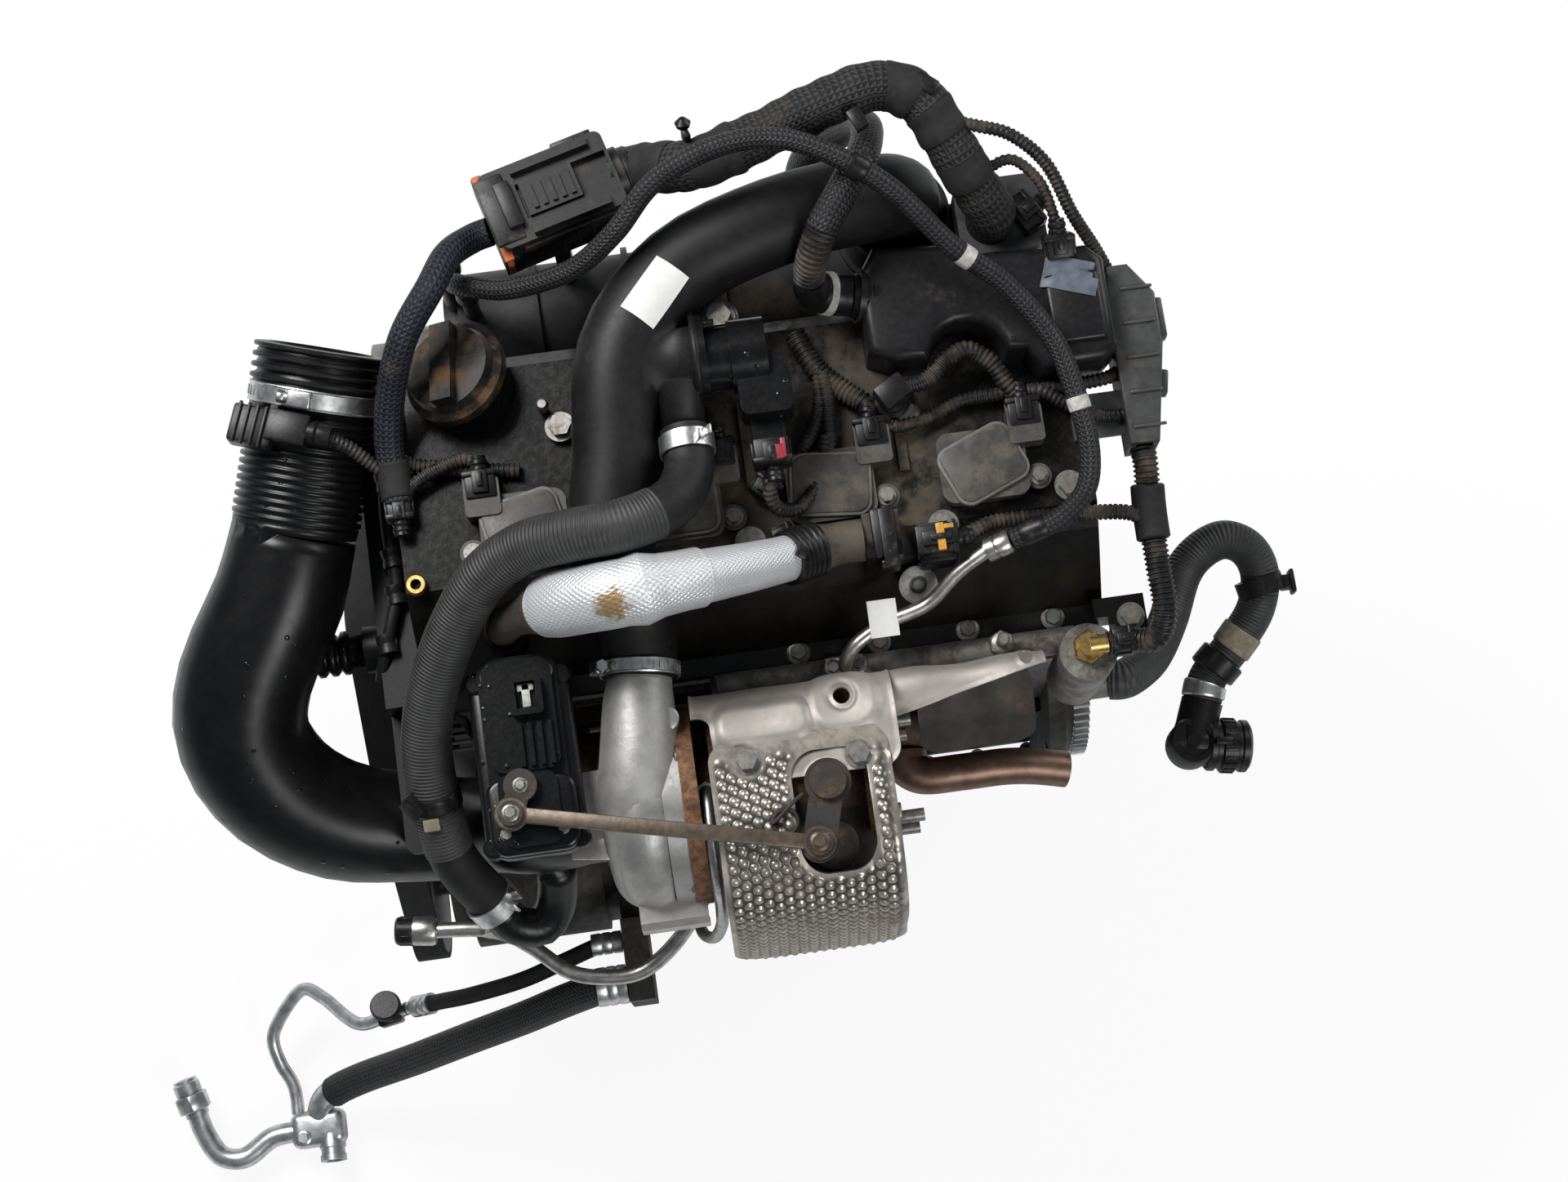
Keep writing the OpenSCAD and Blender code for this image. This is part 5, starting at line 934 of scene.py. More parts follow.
class ENGINE_OT_air_side(bpy.types.Operator):
    """Intake pipe, charge duct, recirculation hose, vent pipe and breather"""
    bl_idname = "engine.air_side"
    bl_label = "Air side"

    def execute(self, context):
        smoothed("intake_pipe", "gloss black", "intake_pipe_skin", 50)
        smoothed("charge_duct", "duct black", "charge_duct_skin", 40)

        stations = along(RECIRC, 1.5, 15)
        bm = bmesh.new()
        sweep(bm, cut(stations, 0, 0.155))
        sweep(bm, cut(stations, 0.86, 1))
        piece("recirculation_rubber", bm, "hose rubber")
        bm = bmesh.new()
        sweep(bm, [(p, r + 0.7) for p, r in cut(stations, 0.15, 0.865)], 32)
        sleeve = piece("recirculation_sleeve", bm, "ribbed sleeve")
        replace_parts(sleeve, "recirculation_hose")
        bm = bmesh.new()
        strap_at = 0.785
        sweep(bm, band(stations, strap_at, 13, 1.9))
        middle = stations[round(strap_at * (len(stations) - 1))][0]
        box(bm, (14, 13, 9), at(middle + Vector((-12, -5, 11)), (-0.6, -0.4, 0.7)), 1.4)
        piece("recirculation_strap", bm, "plug black")
        bm = bmesh.new()
        box(bm, (10, 8, 1.2), at(middle + Vector((-3, -17.5, 8.2)), (0, -0.56, 0.83)), 0.4)
        piece("strap_tag", bm, "tan tape")

        stations = along(VENT, 1.0)
        n = len(stations) - 1
        marks = [min(range(n + 1), key=lambda k: (stations[k][0] - Vector(q)).length) / n
                 for q in ((-134, -60.5, 607.5), (14, -46, 587), (33, -40.5, 577.5))]
        bm = bmesh.new()
        sweep(bm, cut(stations, 0, marks[0]))
        piece("vent_rubber_end", bm, "brown rubber")
        bm = bmesh.new()
        run = cut(stations, marks[0], marks[1])
        count = len(run) - 1
        shaped = [(p, (max(r, 18) if k > 2 else 16) + 2.2 * max(0, 1 - abs(p.x + 74) / 10)
                   - (1.5 if k > count - 3 else 0))
                  if p.x < -40 else (p, r * 0.93) for k, (p, r) in enumerate(run)]
        sweep(bm, shaped, 32)
        vent = piece("vent_silver_sleeve", bm, "silver sleeve")
        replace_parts(vent, "vent_pipe")
        bm = bmesh.new()
        run = cut(stations, marks[1], marks[2])
        sweep(bm, [(p, 17 if k % 4 < 3 else 16) for k, (p, _) in enumerate(run)])
        box(bm, (8, 7, 5), at(run[len(run) // 2][0] + Vector((0, -3, 18)), (0.3, -0.2, 0.9)), 1)
        piece("vent_collar", bm, "plug black")
        bm = bmesh.new()
        sweep(bm, cut(stations, marks[2], 1))
        piece("vent_tan_end", bm, "tan pipe")

        stations = along(BREATHER, 0.8)
        bm = bmesh.new()
        sweep(bm, cut(stations, 0, 0.13))
        piece("breather_elbow", bm, "satin black")
        bm = bmesh.new()
        sweep(bm, [(p, r * (1 - 0.12 * (0, 0, 1, 1)[k % 4])) for k, (p, r) in enumerate(cut(stations, 0.125, 0.25))])
        piece("breather_corrugated", bm, "conduit")
        bm = bmesh.new()
        sweep(bm, cut(stations, 0.245, 1)[::2])
        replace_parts(piece("breather_braid", bm, "braided sleeve"), "breather_hose")
        bm = bmesh.new()
        sweep(bm, band(stations, 0.045, 7, 0.9))
        piece("breather_white_band", bm, "pale tape")

        outline = [(80, 72), (80, 120), (92, 138), (138, 134), (146, 126), (222, 122), (231, 112), (231, 56), (222, 48),
                   (184, 48), (176, 62), (164, 62)]
        outline += [(140 + 24 * cos(radians(g)), 60 + 24 * sin(radians(g))) for g in range(20, 161, 20)]
        outline += [(116, 63.5), (96, 64)]
        bm = bmesh.new()
        plate(bm, outline, 560, 598, 6.5, 5)
        box(bm, (34, 44, 8), spun((209, 82, 597.5), 0), 3, 3)
        lathe(bm, [(11, 0), (14.9, 0), (14.9, 5), (13.6, 6), (14.9, 7), (14.9, 12), (13.2, 16.6), (0, 16.6)],
              at((92, 109.3, 583.3), (-16, 2.7, 2.7)))
        for x, y in ((87, 80), (88, 122), (214, 118), (226, 62)):
            lathe(bm, [(0, 0), (7, 0), (7, 9), (6, 10), (0, 10)], at((x, y, 560.2)), 20)
        breather = piece("breather_box_shell", bm, "satin black", sharp=30)
        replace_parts(breather, "breather_box")
        bm = bmesh.new()
        lathe(bm, [(15.2, 0), (17, 0), (17, 4), (15.2, 4), (15.2, 0)], at((83, 110.8, 584.8), (-16, 2.7, 2.7)))
        piece("breather_clamp", bm, "plug black")
        return {"FINISHED"}


def conduit(bm, route, radius=5.0):
    sweep(bm, ringed(route, radius, sizes().conduit_pitch / MM), 14)


def plug(bm, point, degrees, size=(20, 15, 13), lean=0.0):
    """A wiring plug: body, latch, collar and cable boot, facing local +Y."""
    place = spun(point, degrees) @ Matrix.Rotation(radians(lean), 4, "X")
    x, y, z = size
    box(bm, size, place, 1.2)
    box(bm, (x * 0.5, y * 0.8, 3), place @ shift(0, 1, z / 2 + 1), 0.8)
    box(bm, (x * 0.2, y * 0.5, 2.4), place @ shift(0, 2, z / 2 + 3), 0.6)
    box(bm, (x + 2.4, 3.4, z + 2.4), place @ shift(0, y / 2 - 2.5, 0), 0.8)
    for s in (-1, 1):
        box(bm, (2, y * 0.7, z * 0.5), place @ shift(s * (x / 2 + 0.6), -1, 0), 0.5)
    lathe(bm, [(0, 0), (5.6, 0), (5.6, 2), (4.8, 3), (5.6, 4), (5.6, 6), (4.8, 7), (5, 9), (0, 9)],
          place @ shift(0, y / 2, 0) @ turn_to((0, 1, 0)), 16)


class ENGINE_OT_looms(bpy.types.Operator):
    """Main loom, braided branches, purge hose and split conduits"""
    bl_idname = "engine.looms"
    bl_label = "Looms"

    def execute(self, context):
        trunk = along(TRUNK, 2.0, 15)
        lumpy = [(p, r * (1 + 0.05 * sin(k * 0.55) * cos(k * 0.23))) for k, (p, r) in enumerate(trunk)]
        bm = bmesh.new()
        sweep(bm, lumpy, 32)
        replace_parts(piece("loom_trunk", bm, "loom braid"), "main_harness")
        bm = bmesh.new()
        sweep(bm, along(LEFT, 2.0, 9))
        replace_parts(piece("loom_left", bm, "blue loom"), "harness_branches")
        bm = bmesh.new()
        conduit(bm, MIDDLE, 7)
        conduit(bm, RIGHT, 8)
        conduit(bm, [(50, 74, 570), (46, 46, 569), (30, 20, 567), (14, 7, 567)], 4.5)
        conduit(bm, [(52, 70, 572), (52, 40, 570), (46, 6, 567), (34, -22, 566), (22, -27, 566)], 4.5)
        conduit(bm, [(13, 7, 606), (9, -4, 603), (12, -15, 592), (26, -14, 579), (40, 4, 571), (48, 30, 569)], 4.5)
        conduit(bm, [(100, 50, 585), (114, 53, 586), (128, 64, 586), (141, 69, 584), (154, 61, 580), (162, 48, 575),
                     (169, 40, 571)], 5.5)
        conduit(bm, [(84, 36, 571), (92, 30, 571), (112, 34, 568), (135, 42, 567), (168, 42, 569), (200, 42, 568),
                     (226, 44, 567), (240, 52, 560)], 4.5)
        conduit(bm, [(170, 40, 570), (182, 40, 573), (198, 30, 570), (218, 20, 569), (240, 20, 562)], 4.5)
        conduit(bm, [(124, -43, 570), (140, -37, 566), (160, -36, 563), (182, -37, 562), (206, -38, 561),
                     (226, -40, 557),
                     (240, -46, 552)], 5)
        conduit(bm, [(-164, 40, 570), (-172, 46, 572), (-190, 42, 571), (-206, 34, 570), (-214, 28, 570)], 4.5)
        conduit(bm, [(-140, 36, 565), (-160, 39, 565), (-186, 44, 565.5), (-204, 48, 566), (-214, 52, 571)], 5)
        conduit(bm, [(146, 196, 638), (162, 190, 640), (182, 182, 638), (202, 166, 624), (216, 140, 602),
                     (230, 122, 580), (241, 104, 562)], 4.2)
        conduit(bm, [(160, 162, 612), (170, 172, 615), (184, 174, 616), (198, 160, 611), (204, 142, 603),
                     (205, 132, 600)],
                3.6)
        piece("split_conduits", bm, "conduit")

        purge = along(PURGE, 2.0, 6.5)
        bm = bmesh.new()
        sweep(bm, purge)
        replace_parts(piece("purge_braid", bm, "braided sleeve"), "purge_hose")
        bm = bmesh.new()
        for share in (0.165, 0.345):
            sweep(bm, band(purge, share, 9, 0.5))
        piece("purge_white_bands", bm, "pale tape")
        bm = bmesh.new()
        for share in (0.02, 0.985):
            sweep(bm, band(purge, share, 16, 1.1))
        sweep(bm, band(purge, 0.475, 10, 1.6))
        box(bm, (12, 9, 9), spun(purge[round(0.475 * (len(purge) - 1))][0] + Vector((3, 4, -6)), 30), 1.2)
        box(bm, (9, 14, 7), spun((90, 196, 661), 25), 1.2)
        piece("purge_clips", bm, "plug black")

        bm = bmesh.new()
        for share, length in ((0.1, 22), (0.235, 26), (0.62, 20), (0.72, 18), (0.83, 14)):
            sweep(bm, band(lumpy, share, length, 0.9), 32)
        sweep(bm, band(along(RIGHT, 1.0, 8), 0.26, 34, 2.6))
        sweep(bm, band(along(LEFT, 1.0, 9), 0.93, 24, 1.2))
        piece("loom_tapes", bm, "cloth tape")
        bm = bmesh.new()
        box(bm, (4, 7, 14), spun((-12, 206, 645), 20), 0.8)
        lathe(bm, [(0, 0), (4, 0), (5, 3), (2, 6), (0, 6)], at((-13, 210, 650), (0, 0.6, 0.8)), 16)
        box(bm, (14, 10, 8), spun((134, 214, 656), -40), 1.2)
        piece("loom_ties", bm, "plug black")
        return {"FINISHED"}


class ENGINE_OT_plugs(bpy.types.Operator):
    """Wiring plugs with their locks, and the large connector's seal"""
    bl_idname = "engine.plugs"
    bl_label = "Plugs"

    def execute(self, context):
        bm = bmesh.new()
        for x in (76, 170, -18):
            plug(bm, (x, 28, 573), 0, (19, 18, 11))
        plug(bm, (-164, 28, 573), 0, (19, 18, 11))
        plug(bm, (8, 3, 567), -40, (16, 14, 12))
        plug(bm, (15, -30, 566), -75, (16, 14, 11))
        plug(bm, (13, 14, 608), 180, (21, 16, 19))
        plug(bm, (106, -44, 571), -90, (18, 26, 15))
        plug(bm, (205, 122, 599), 0, (17, 15, 12), 25)
        plug(bm, (190, 150, 585), -60, (22, 16, 12))
        plug(bm, (214, -114, 530), -90, (15, 14, 13))
        plug(bm, (-215, 20, 569), 180, (15, 14, 12))
        box(bm, (24, 26, 22), spun((106, -44, 557), 0), 3)
        box(bm, (20, 12, 6), spun((106, -38, 566), 0), 1)
        piece("wiring_plugs", bm, "plug black")
        bm = bmesh.new()
        box(bm, (5, 17, 3), spun((108, -44, 580), 0), 0.6)
        box(bm, (9, 3, 2.4), spun((112, -38, 579.6), 0), 0.5)
        piece("yellow_lock", bm, "yellow lock")
        bm = bmesh.new()
        box(bm, (8, 9, 3), spun((16, 12, 619), 0), 0.6)
        box(bm, (3, 12, 2.5), spun((20, 14, 619), 0), 0.5)
        piece("red_lock", bm, "red lock")

        lathe_place = at((92, 46, 560), (0, 0, 1))
        bm = bmesh.new()
        lathe(bm, [(0, 0), (14, 0), (14, 3), (11, 5), (11, 14), (9, 16), (9, 21), (0, 22)], lathe_place)
        box(bm, (16, 20, 12), spun((92, 48, 585), -60), 1.6)
        box(bm, (30, 9, 4), spun((92, 46, 562), 35), 1)
        piece("cover_sensor", bm, "plug black")

        turn = spun((-96, 190, 606), 15)
        bm = bmesh.new()
        box(bm, (6, 58, 3), turn @ shift(-39.5, 0, 12.6), 0.8)
        box(bm, (4, 2, 22), turn @ shift(-39.5, -28.4, 0), 0.6)
        piece("connector_seal", bm, "orange seal")
        bm = bmesh.new()
        for k in range(6):
            box(bm, (3, 2.4, 30), turn @ shift(-24 + 10 * k, -25.6, -2), 0.6)
        box(bm, (62, 3, 8), turn @ shift(2, -26, 14), 1)
        box(bm, (18, 44, 5), turn @ shift(-34, 0, 21), 1.4)
        box(bm, (10, 30, 5), turn @ shift(-28, 0, 25), 1.2)
        box(bm, (26, 8, 6), turn @ shift(22, 24, 18), 1)
        lathe(bm, [(0, -3), (18, -3), (18, 6), (16.4, 7), (16.4, 11), (15.2, 13), (0, 13)],
              at((-58, 200.3, 606), (11.6, 3.1, 0)))
        piece("connector_ribs", bm, "plug grey")
        return {"FINISHED"}


def worm_clamp(bm, point, direction, r, width, roll=0.0):
    """A worm-drive clamp: slotted band with rolled edges, housing and screw."""
    place = at(point, direction, roll)
    h = width / 2
    lathe(bm, [(r, -h), (r + 1.3, -h), (r + 1.6, -h + 0.7), (r + 1.0, -h + 1.4), (r + 1.0, h - 1.4), (r + 1.6, h - 0.7),
               (r + 1.3, h), (r, h), (r, -h)], place, 64)
    for k in range(22):
        turned = place @ about_z(30 + 8 * k)
        box(bm, (0.6, 0.7, width * 0.5), turned @ shift(r + 1.2, 0, 0), 0)
    box(bm, (6, 15, width - 1), place @ shift(r + 4, 0, 0), 1.6, 3)
    screw = place @ shift(r + 4.4, 7, 0) @ turn_to((0, 1, 0))
    lathe(bm, [(0, 0), (3, 0), (3, 3), (0, 3)], screw, 16)
    hexagon(bm, 4.2, 4.6, screw @ shift(0, 0, 2), 0.5)


def spring_clamp(bm, point, direction, r, width, roll=0.0):
    """A sprung hose clamp with two ears."""
    place = at(point, direction, roll)
    h = width / 2
    lathe(bm, [(r, -h), (r + 1.5, -h), (r + 1.5, h), (r, h), (r, -h)], place, 48)
    for s in (-1, 1):
        box(bm, (9, 1.6, width * 0.55), place @ about_z(9 * s)
            @ shift(r + 4.5, 0, s * width * 0.15), 0.5)


class ENGINE_OT_clamps(bpy.types.Operator):
    """Worm clamps and sprung clamps on the hoses"""
    bl_idname = "engine.clamps"
    bl_label = "Clamps"

    def execute(self, context):
        bm = bmesh.new()
        worm_clamp(bm, (-83.4, -94.5, 551.1), (1.3, 11.5, 0.3), 23.4, 9, 20)
        worm_clamp(bm, (-260.8, 102.0, 556.2), (-21, -66, -21), 39.3, 12, 90)
        spring_clamp(bm, (-36.5, 22, 622.25), (0, -24, 3), 15.3, 11, 60)
        spring_clamp(bm, (-197.2, -210.9, 451.1), (5.5, -7.5, -7.5), 15.4, 12, 60)
        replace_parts(piece("hose_clamps_steel", bm, "bright steel"), "hose_clamps")
        return {"FINISHED"}


class ENGINE_OT_pipes(bpy.types.Operator):
    """Steel pipes, their cap, tag and saddle clip"""
    bl_idname = "engine.pipes"
    bl_label = "Pipes"

    def execute(self, context):
        bm = bmesh.new()
        sweep(bm, along(OIL_FEED, 2.0, 4), 16)
        sweep(bm, along(OIL_LINE, 2.0), 16)
        lathe(bm, [(4, 0), (7, 0), (7, 5), (4.5, 7), (4.2, 9)], at((-53.5, -174, 535.3)), 20)
        hexagon(bm, 8, 7, at((-53.5, -174, 536.5)), 0.6)
        lathe(bm, [(4, -8), (8.5, -8), (9.4, -6), (9.4, 6), (8.4, 8), (5.1, 8)],
              at((-246, -219.5, 420), (18, -2.5, 0)), 24)
        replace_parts(piece("oil_pipes", bm, "tube steel"), "turbo_pipes")
        bm = bmesh.new()
        lathe(bm, [(0, 0), (7.6, 0), (9, 1.4), (9, 12), (7.6, 13), (0, 13)], at((-264, -217, 420), (18, -2.5, 0)), 24)
        for k in range(12):
            box(bm, (1, 1.6, 9), at((-264, -217, 420), (18, -2.5, 0)) @ about_z(30 * k)
                @ shift(9, 0, 7), 0.3, 1)
        piece("line_cap", bm, "plug black")
        bm = bmesh.new()
        sweep(bm, band(along(OIL_LINE, 1.0), 0.165, 18, 0.6), 16)
        box(bm, (17, 1.2, 13), at((-200, -226, 427), (0.02, -0.05, 1), 0), 0.4)
        piece("pale_line_tag", bm, "pale tape")

        bm = bmesh.new()
        verts = [bm.verts.new(mm(-104, y, z)) for y, z in ((-226, 512), (-244, 512), (-248, 508), (-248, 484),
                                                           (-243, 480))]
        edges = [bm.edges.new(pair) for pair in zip(verts, verts[1:])]
        made = bmesh.ops.extrude_edge_only(bm, edges=edges)["geom"]
        bmesh.ops.translate(bm, vec=mm(42, 0, 0), verts=[g for g in made if isinstance(g, bmesh.types.BMVert)])
        bmesh.ops.recalc_face_normals(bm, faces=bm.faces)
        bmesh.ops.solidify(bm, geom=list(bm.faces), thickness=1.6 * MM)
        box(bm, (30, 14, 3.4), spun((-124, -197, 536.2), -8), 1)
        piece("saddle_clip", bm, "clip steel")

        bm = bmesh.new()
        sweep(bm, along(PURGE_PIPE, 1.5, 4.5), 20)
        box(bm, (24, 14, 3.4), spun((42, -104, 517.8), 0), 1, 3)
        lathe(bm, [(4.5, 0), (7.5, 0.5), (7.5, 6), (6.6, 7), (7.5, 8), (7.5, 15), (6.4, 16.6), (4, 16.6)],
              at((135, -54.5, 568.8), (16, 3.5, 6.2)), 24)
        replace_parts(piece("purge_steel_pipe", bm, "tube steel"), "purge_pipe")
        bm = bmesh.new()
        sweep(bm, along(RETURN_PIPE, 1.5, 12))
        lathe(bm, [(12, 0), (17, 0), (17, 5), (12, 5)], at((74, -148.6, 424), (0, -1, 0)))
        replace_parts(piece("tinted_return_pipe", bm, "tinted pipe"), "return_pipe")
        bm = bmesh.new()
        sweep(bm, along([(-228, 66, 497), (-231, 44, 498), (-231, 19, 498), (-230, -11, 498), (-236, -34, 498),
                         (-243, -54, 492), (-247, -66, 484)], 1.5, 4.6), 16)
        piece("front_tube", bm, "hose rubber")
        bm = bmesh.new()
        for y, x in ((58, -229.5), (8, -230.8), (-16, -231), (-46, -240)):
            lathe(bm, [(4.7, -6), (6.6, -6), (6.6, -2), (6, -1), (6, 1), (6.6, 2), (6.6, 6), (4.7, 6)],
                  at((x, y, 498 if y > -40 else 495), (0.1, -1, 0)), 20)
            box(bm, (5, 8, 5), spun((x + 4, y, 495), 0), 0.8)
        piece("front_tube_clips", bm, "plug grey")
        return {"FINISHED"}


class ENGINE_OT_fasteners(bpy.types.Operator):
    """Bolts, studs and brass inserts beside those of the solids"""
    bl_idname = "engine.fasteners"
    bl_label = "Fasteners"

    def execute(self, context):
        bm = bmesh.new()
        for x in (15, 66, 122, 176):
            bolt(bm, (x, -89, seat(x, -89, "cam_cover")), (0, 0, 1), 5)
        for x in (-30, 30, 96, 150):
            bolt(bm, (x, -108.2, 492), (0, -1, 0.25), 4.5)
        bolt(bm, (34.5, -104, 519.5), (0, 0, 1), 3.6)
        bolt(bm, (50.5, -104, 519.5), (0, 0, 1), 3.6)
        for y in (-91, 108):
            for z in range(360, 481, 30):
                bolt(bm, (-220, y, z), (-1, 0, 0), 4.5)
        for x in (-150, -94, 94, 150):
            for z in (406, 446):
                lathe(bm, [(0, -12), (3.8, -12), (3.8, 11), (3, 12), (0, 12)], at((x, -104.6, z), (0, -1, 0)), 16)
                hexagon(bm, 6.4, 6, at((x, -105, z), (0, -1, 0)))
        lathe(bm, [(0, 0), (6.4, 0), (6.4, 8), (4, 9), (4, 20), (3, 21), (0, 21)], at((140, -104, 519.8)), 20)
        hexagon(bm, 8.4, 6, at((140, -104, 520)))
        for y in (-147, -201):
            for z in (475.3, 534.7):
                hexagon(bm, 6.8, 6.4, at((56.2, y + 0.3, z), (1, 0, 0)))
        lathe(bm, [(0, 0), (3, 0), (3, 7), (2, 8), (2, 10), (4.2, 12), (4.2, 14.5), (2.6, 17), (0, 17)],
              at((-121, 73, seat(-121, 73, "cam_cover"))), 20)
        for x in range(-190, 191, 38):
            for y in (-112, 112):
                bolt(bm, (x, y, 102), (0, 0, -1), 4)
        for x in (-185, -94, 0, 94, 185):
            bolt(bm, (x, 107, 394), (0, 0, 1), 4.5)
        piece("small_bolts", bm, "bolt steel")

        bm = bmesh.new()
        for x, y in ((-211, -26), (-206, -62)):
            lathe(bm, [(3, 0), (6.5, 0), (6.5, 5), (5.6, 6), (3.4, 6), (3, 5), (3, 0)],
                  at((x, y, seat(x, y, "cam_cover"))), 24)
        hexagon(bm, 10.5, 8, at((193, -114, 520.4)), 0.8)
        piece("brass_inserts", bm, "brass")

        bm = bmesh.new()
        place = at((93, -59, seat(93, -59, "cam_cover") - 4), (0, -0.35, 0.94))
        lathe(bm, [(0, 0), (8, 0), (8, 9), (0, 9)], place, 24)
        piece("grommet_post", bm, "plug black")
        bm = bmesh.new()
        lathe(bm, [(5.5, 9), (11, 9), (12, 10), (12, 13.5), (10.6, 14.5), (6.4, 14.5), (5.5, 13.5), (5.5, 9)], place)
        bolt(bm, place @ mm(0, 0, 9) / MM, (0, -0.35, 0.94), 3.4)
        piece("grommet_ring", bm, "pale tape")
        return {"FINISHED"}


SHIELD = [(-150, 569.2), (-178, 569.2), (-205, 569.2), (-224, 564.2), (-240, 553.2), (-252, 535.2), (-260, 507.2),
          (-266, 469.2), (-268, 429.2)]
SHIELD_BOLTS = ((-27, -162), (40, -167))


def turbine_sheet(bm):
    """Rows of dimples with a plain rim, and a window for the lever."""
    turn = 2 * pi * MM / sizes().dimple_pitch

    def outside(u, s, p):
        return max(-rounded(p.x, p.y, 21, -197, 23, 36, 16), rounded(u, s, 4, 80, 54, 120, 26))

    def relief(u, s, p, gap):
        near = min(away_from(p, x, y) for x, y in SHIELD_BOLTS)
        fade = ramp(-gap, 2, 5) * ramp(near, 10, 14) * ramp(s, 8, 16)
        wave = cos(turn * u) + cos(turn * (0.5 * u + 0.866 * s)) + cos(turn * (0.866 * s - 0.5 * u))
        raised = fade * max(0, wave / 3)
        channel = 2.2 * ramp(-rounded(p.x, p.y, 50, -214, 6, 46, 5), -4, 1)
        # The second value is painted shade for the colour: low in the dimples' valleys, 0.4 on the plain rim
        return 1.9 * raised + channel, max(raised, 0.4 * (1 - fade))

    pressed_sheet(bm, SHIELD, -50, 58, outside, relief, 1.5)


def manifold_sheet(bm):
    """The plain upper shield with its bulges, and its wing along the gallery."""
    def outside(u, s, p):
        return max(-rounded(u, p.y, -60, -166, 14, 33, 8), 5 - away_from(p, 35, -131), 13 - away_from(p, 19, -182))

    def relief(u, s, p, gap):
        bulge = 3.4 * ramp(-rounded(u, p.y, -14, -141, 27, 10, 8), -6, 3)
        hump = 2.6 * ramp(-rounded(u, p.y, 36, -133, 20, 17, 14), -5, 3) - 2.0 * ramp(-away_from(p, 35, -131), -11, -8)
        dent = 0.5 * sin(0.13 * u + 0.4) * cos(0.09 * p.y)
        return max(bulge, hump) + dent + 0.8 * ramp(gap, -3, 0), 0.5

    pressed_sheet(bm, [(-115.5, 528), (-116, 539), (-118.5, 550), (-126, 561), (-142, 567.5), (-158, 568), (-176, 568)],
                  -57, 66, outside, relief, 1.2)

    def trim(u, s, p):
        return max(-144 + 0.19 * (u - 60) - p.y, 4 - away_from(p, 150, -121))

    def wave(u, s, p, gap):
        return 1.1 * sin(0.1 * u) * ramp(s, 34, 60) + 0.8 * ramp(gap, -3, 0), 0.5

    pressed_sheet(bm, [(-115.5, 480), (-115.5, 515), (-116, 532), (-118, 544), (-124, 551), (-134, 551), (-146, 545)],
                  60, 162, trim, wave, 1.2)


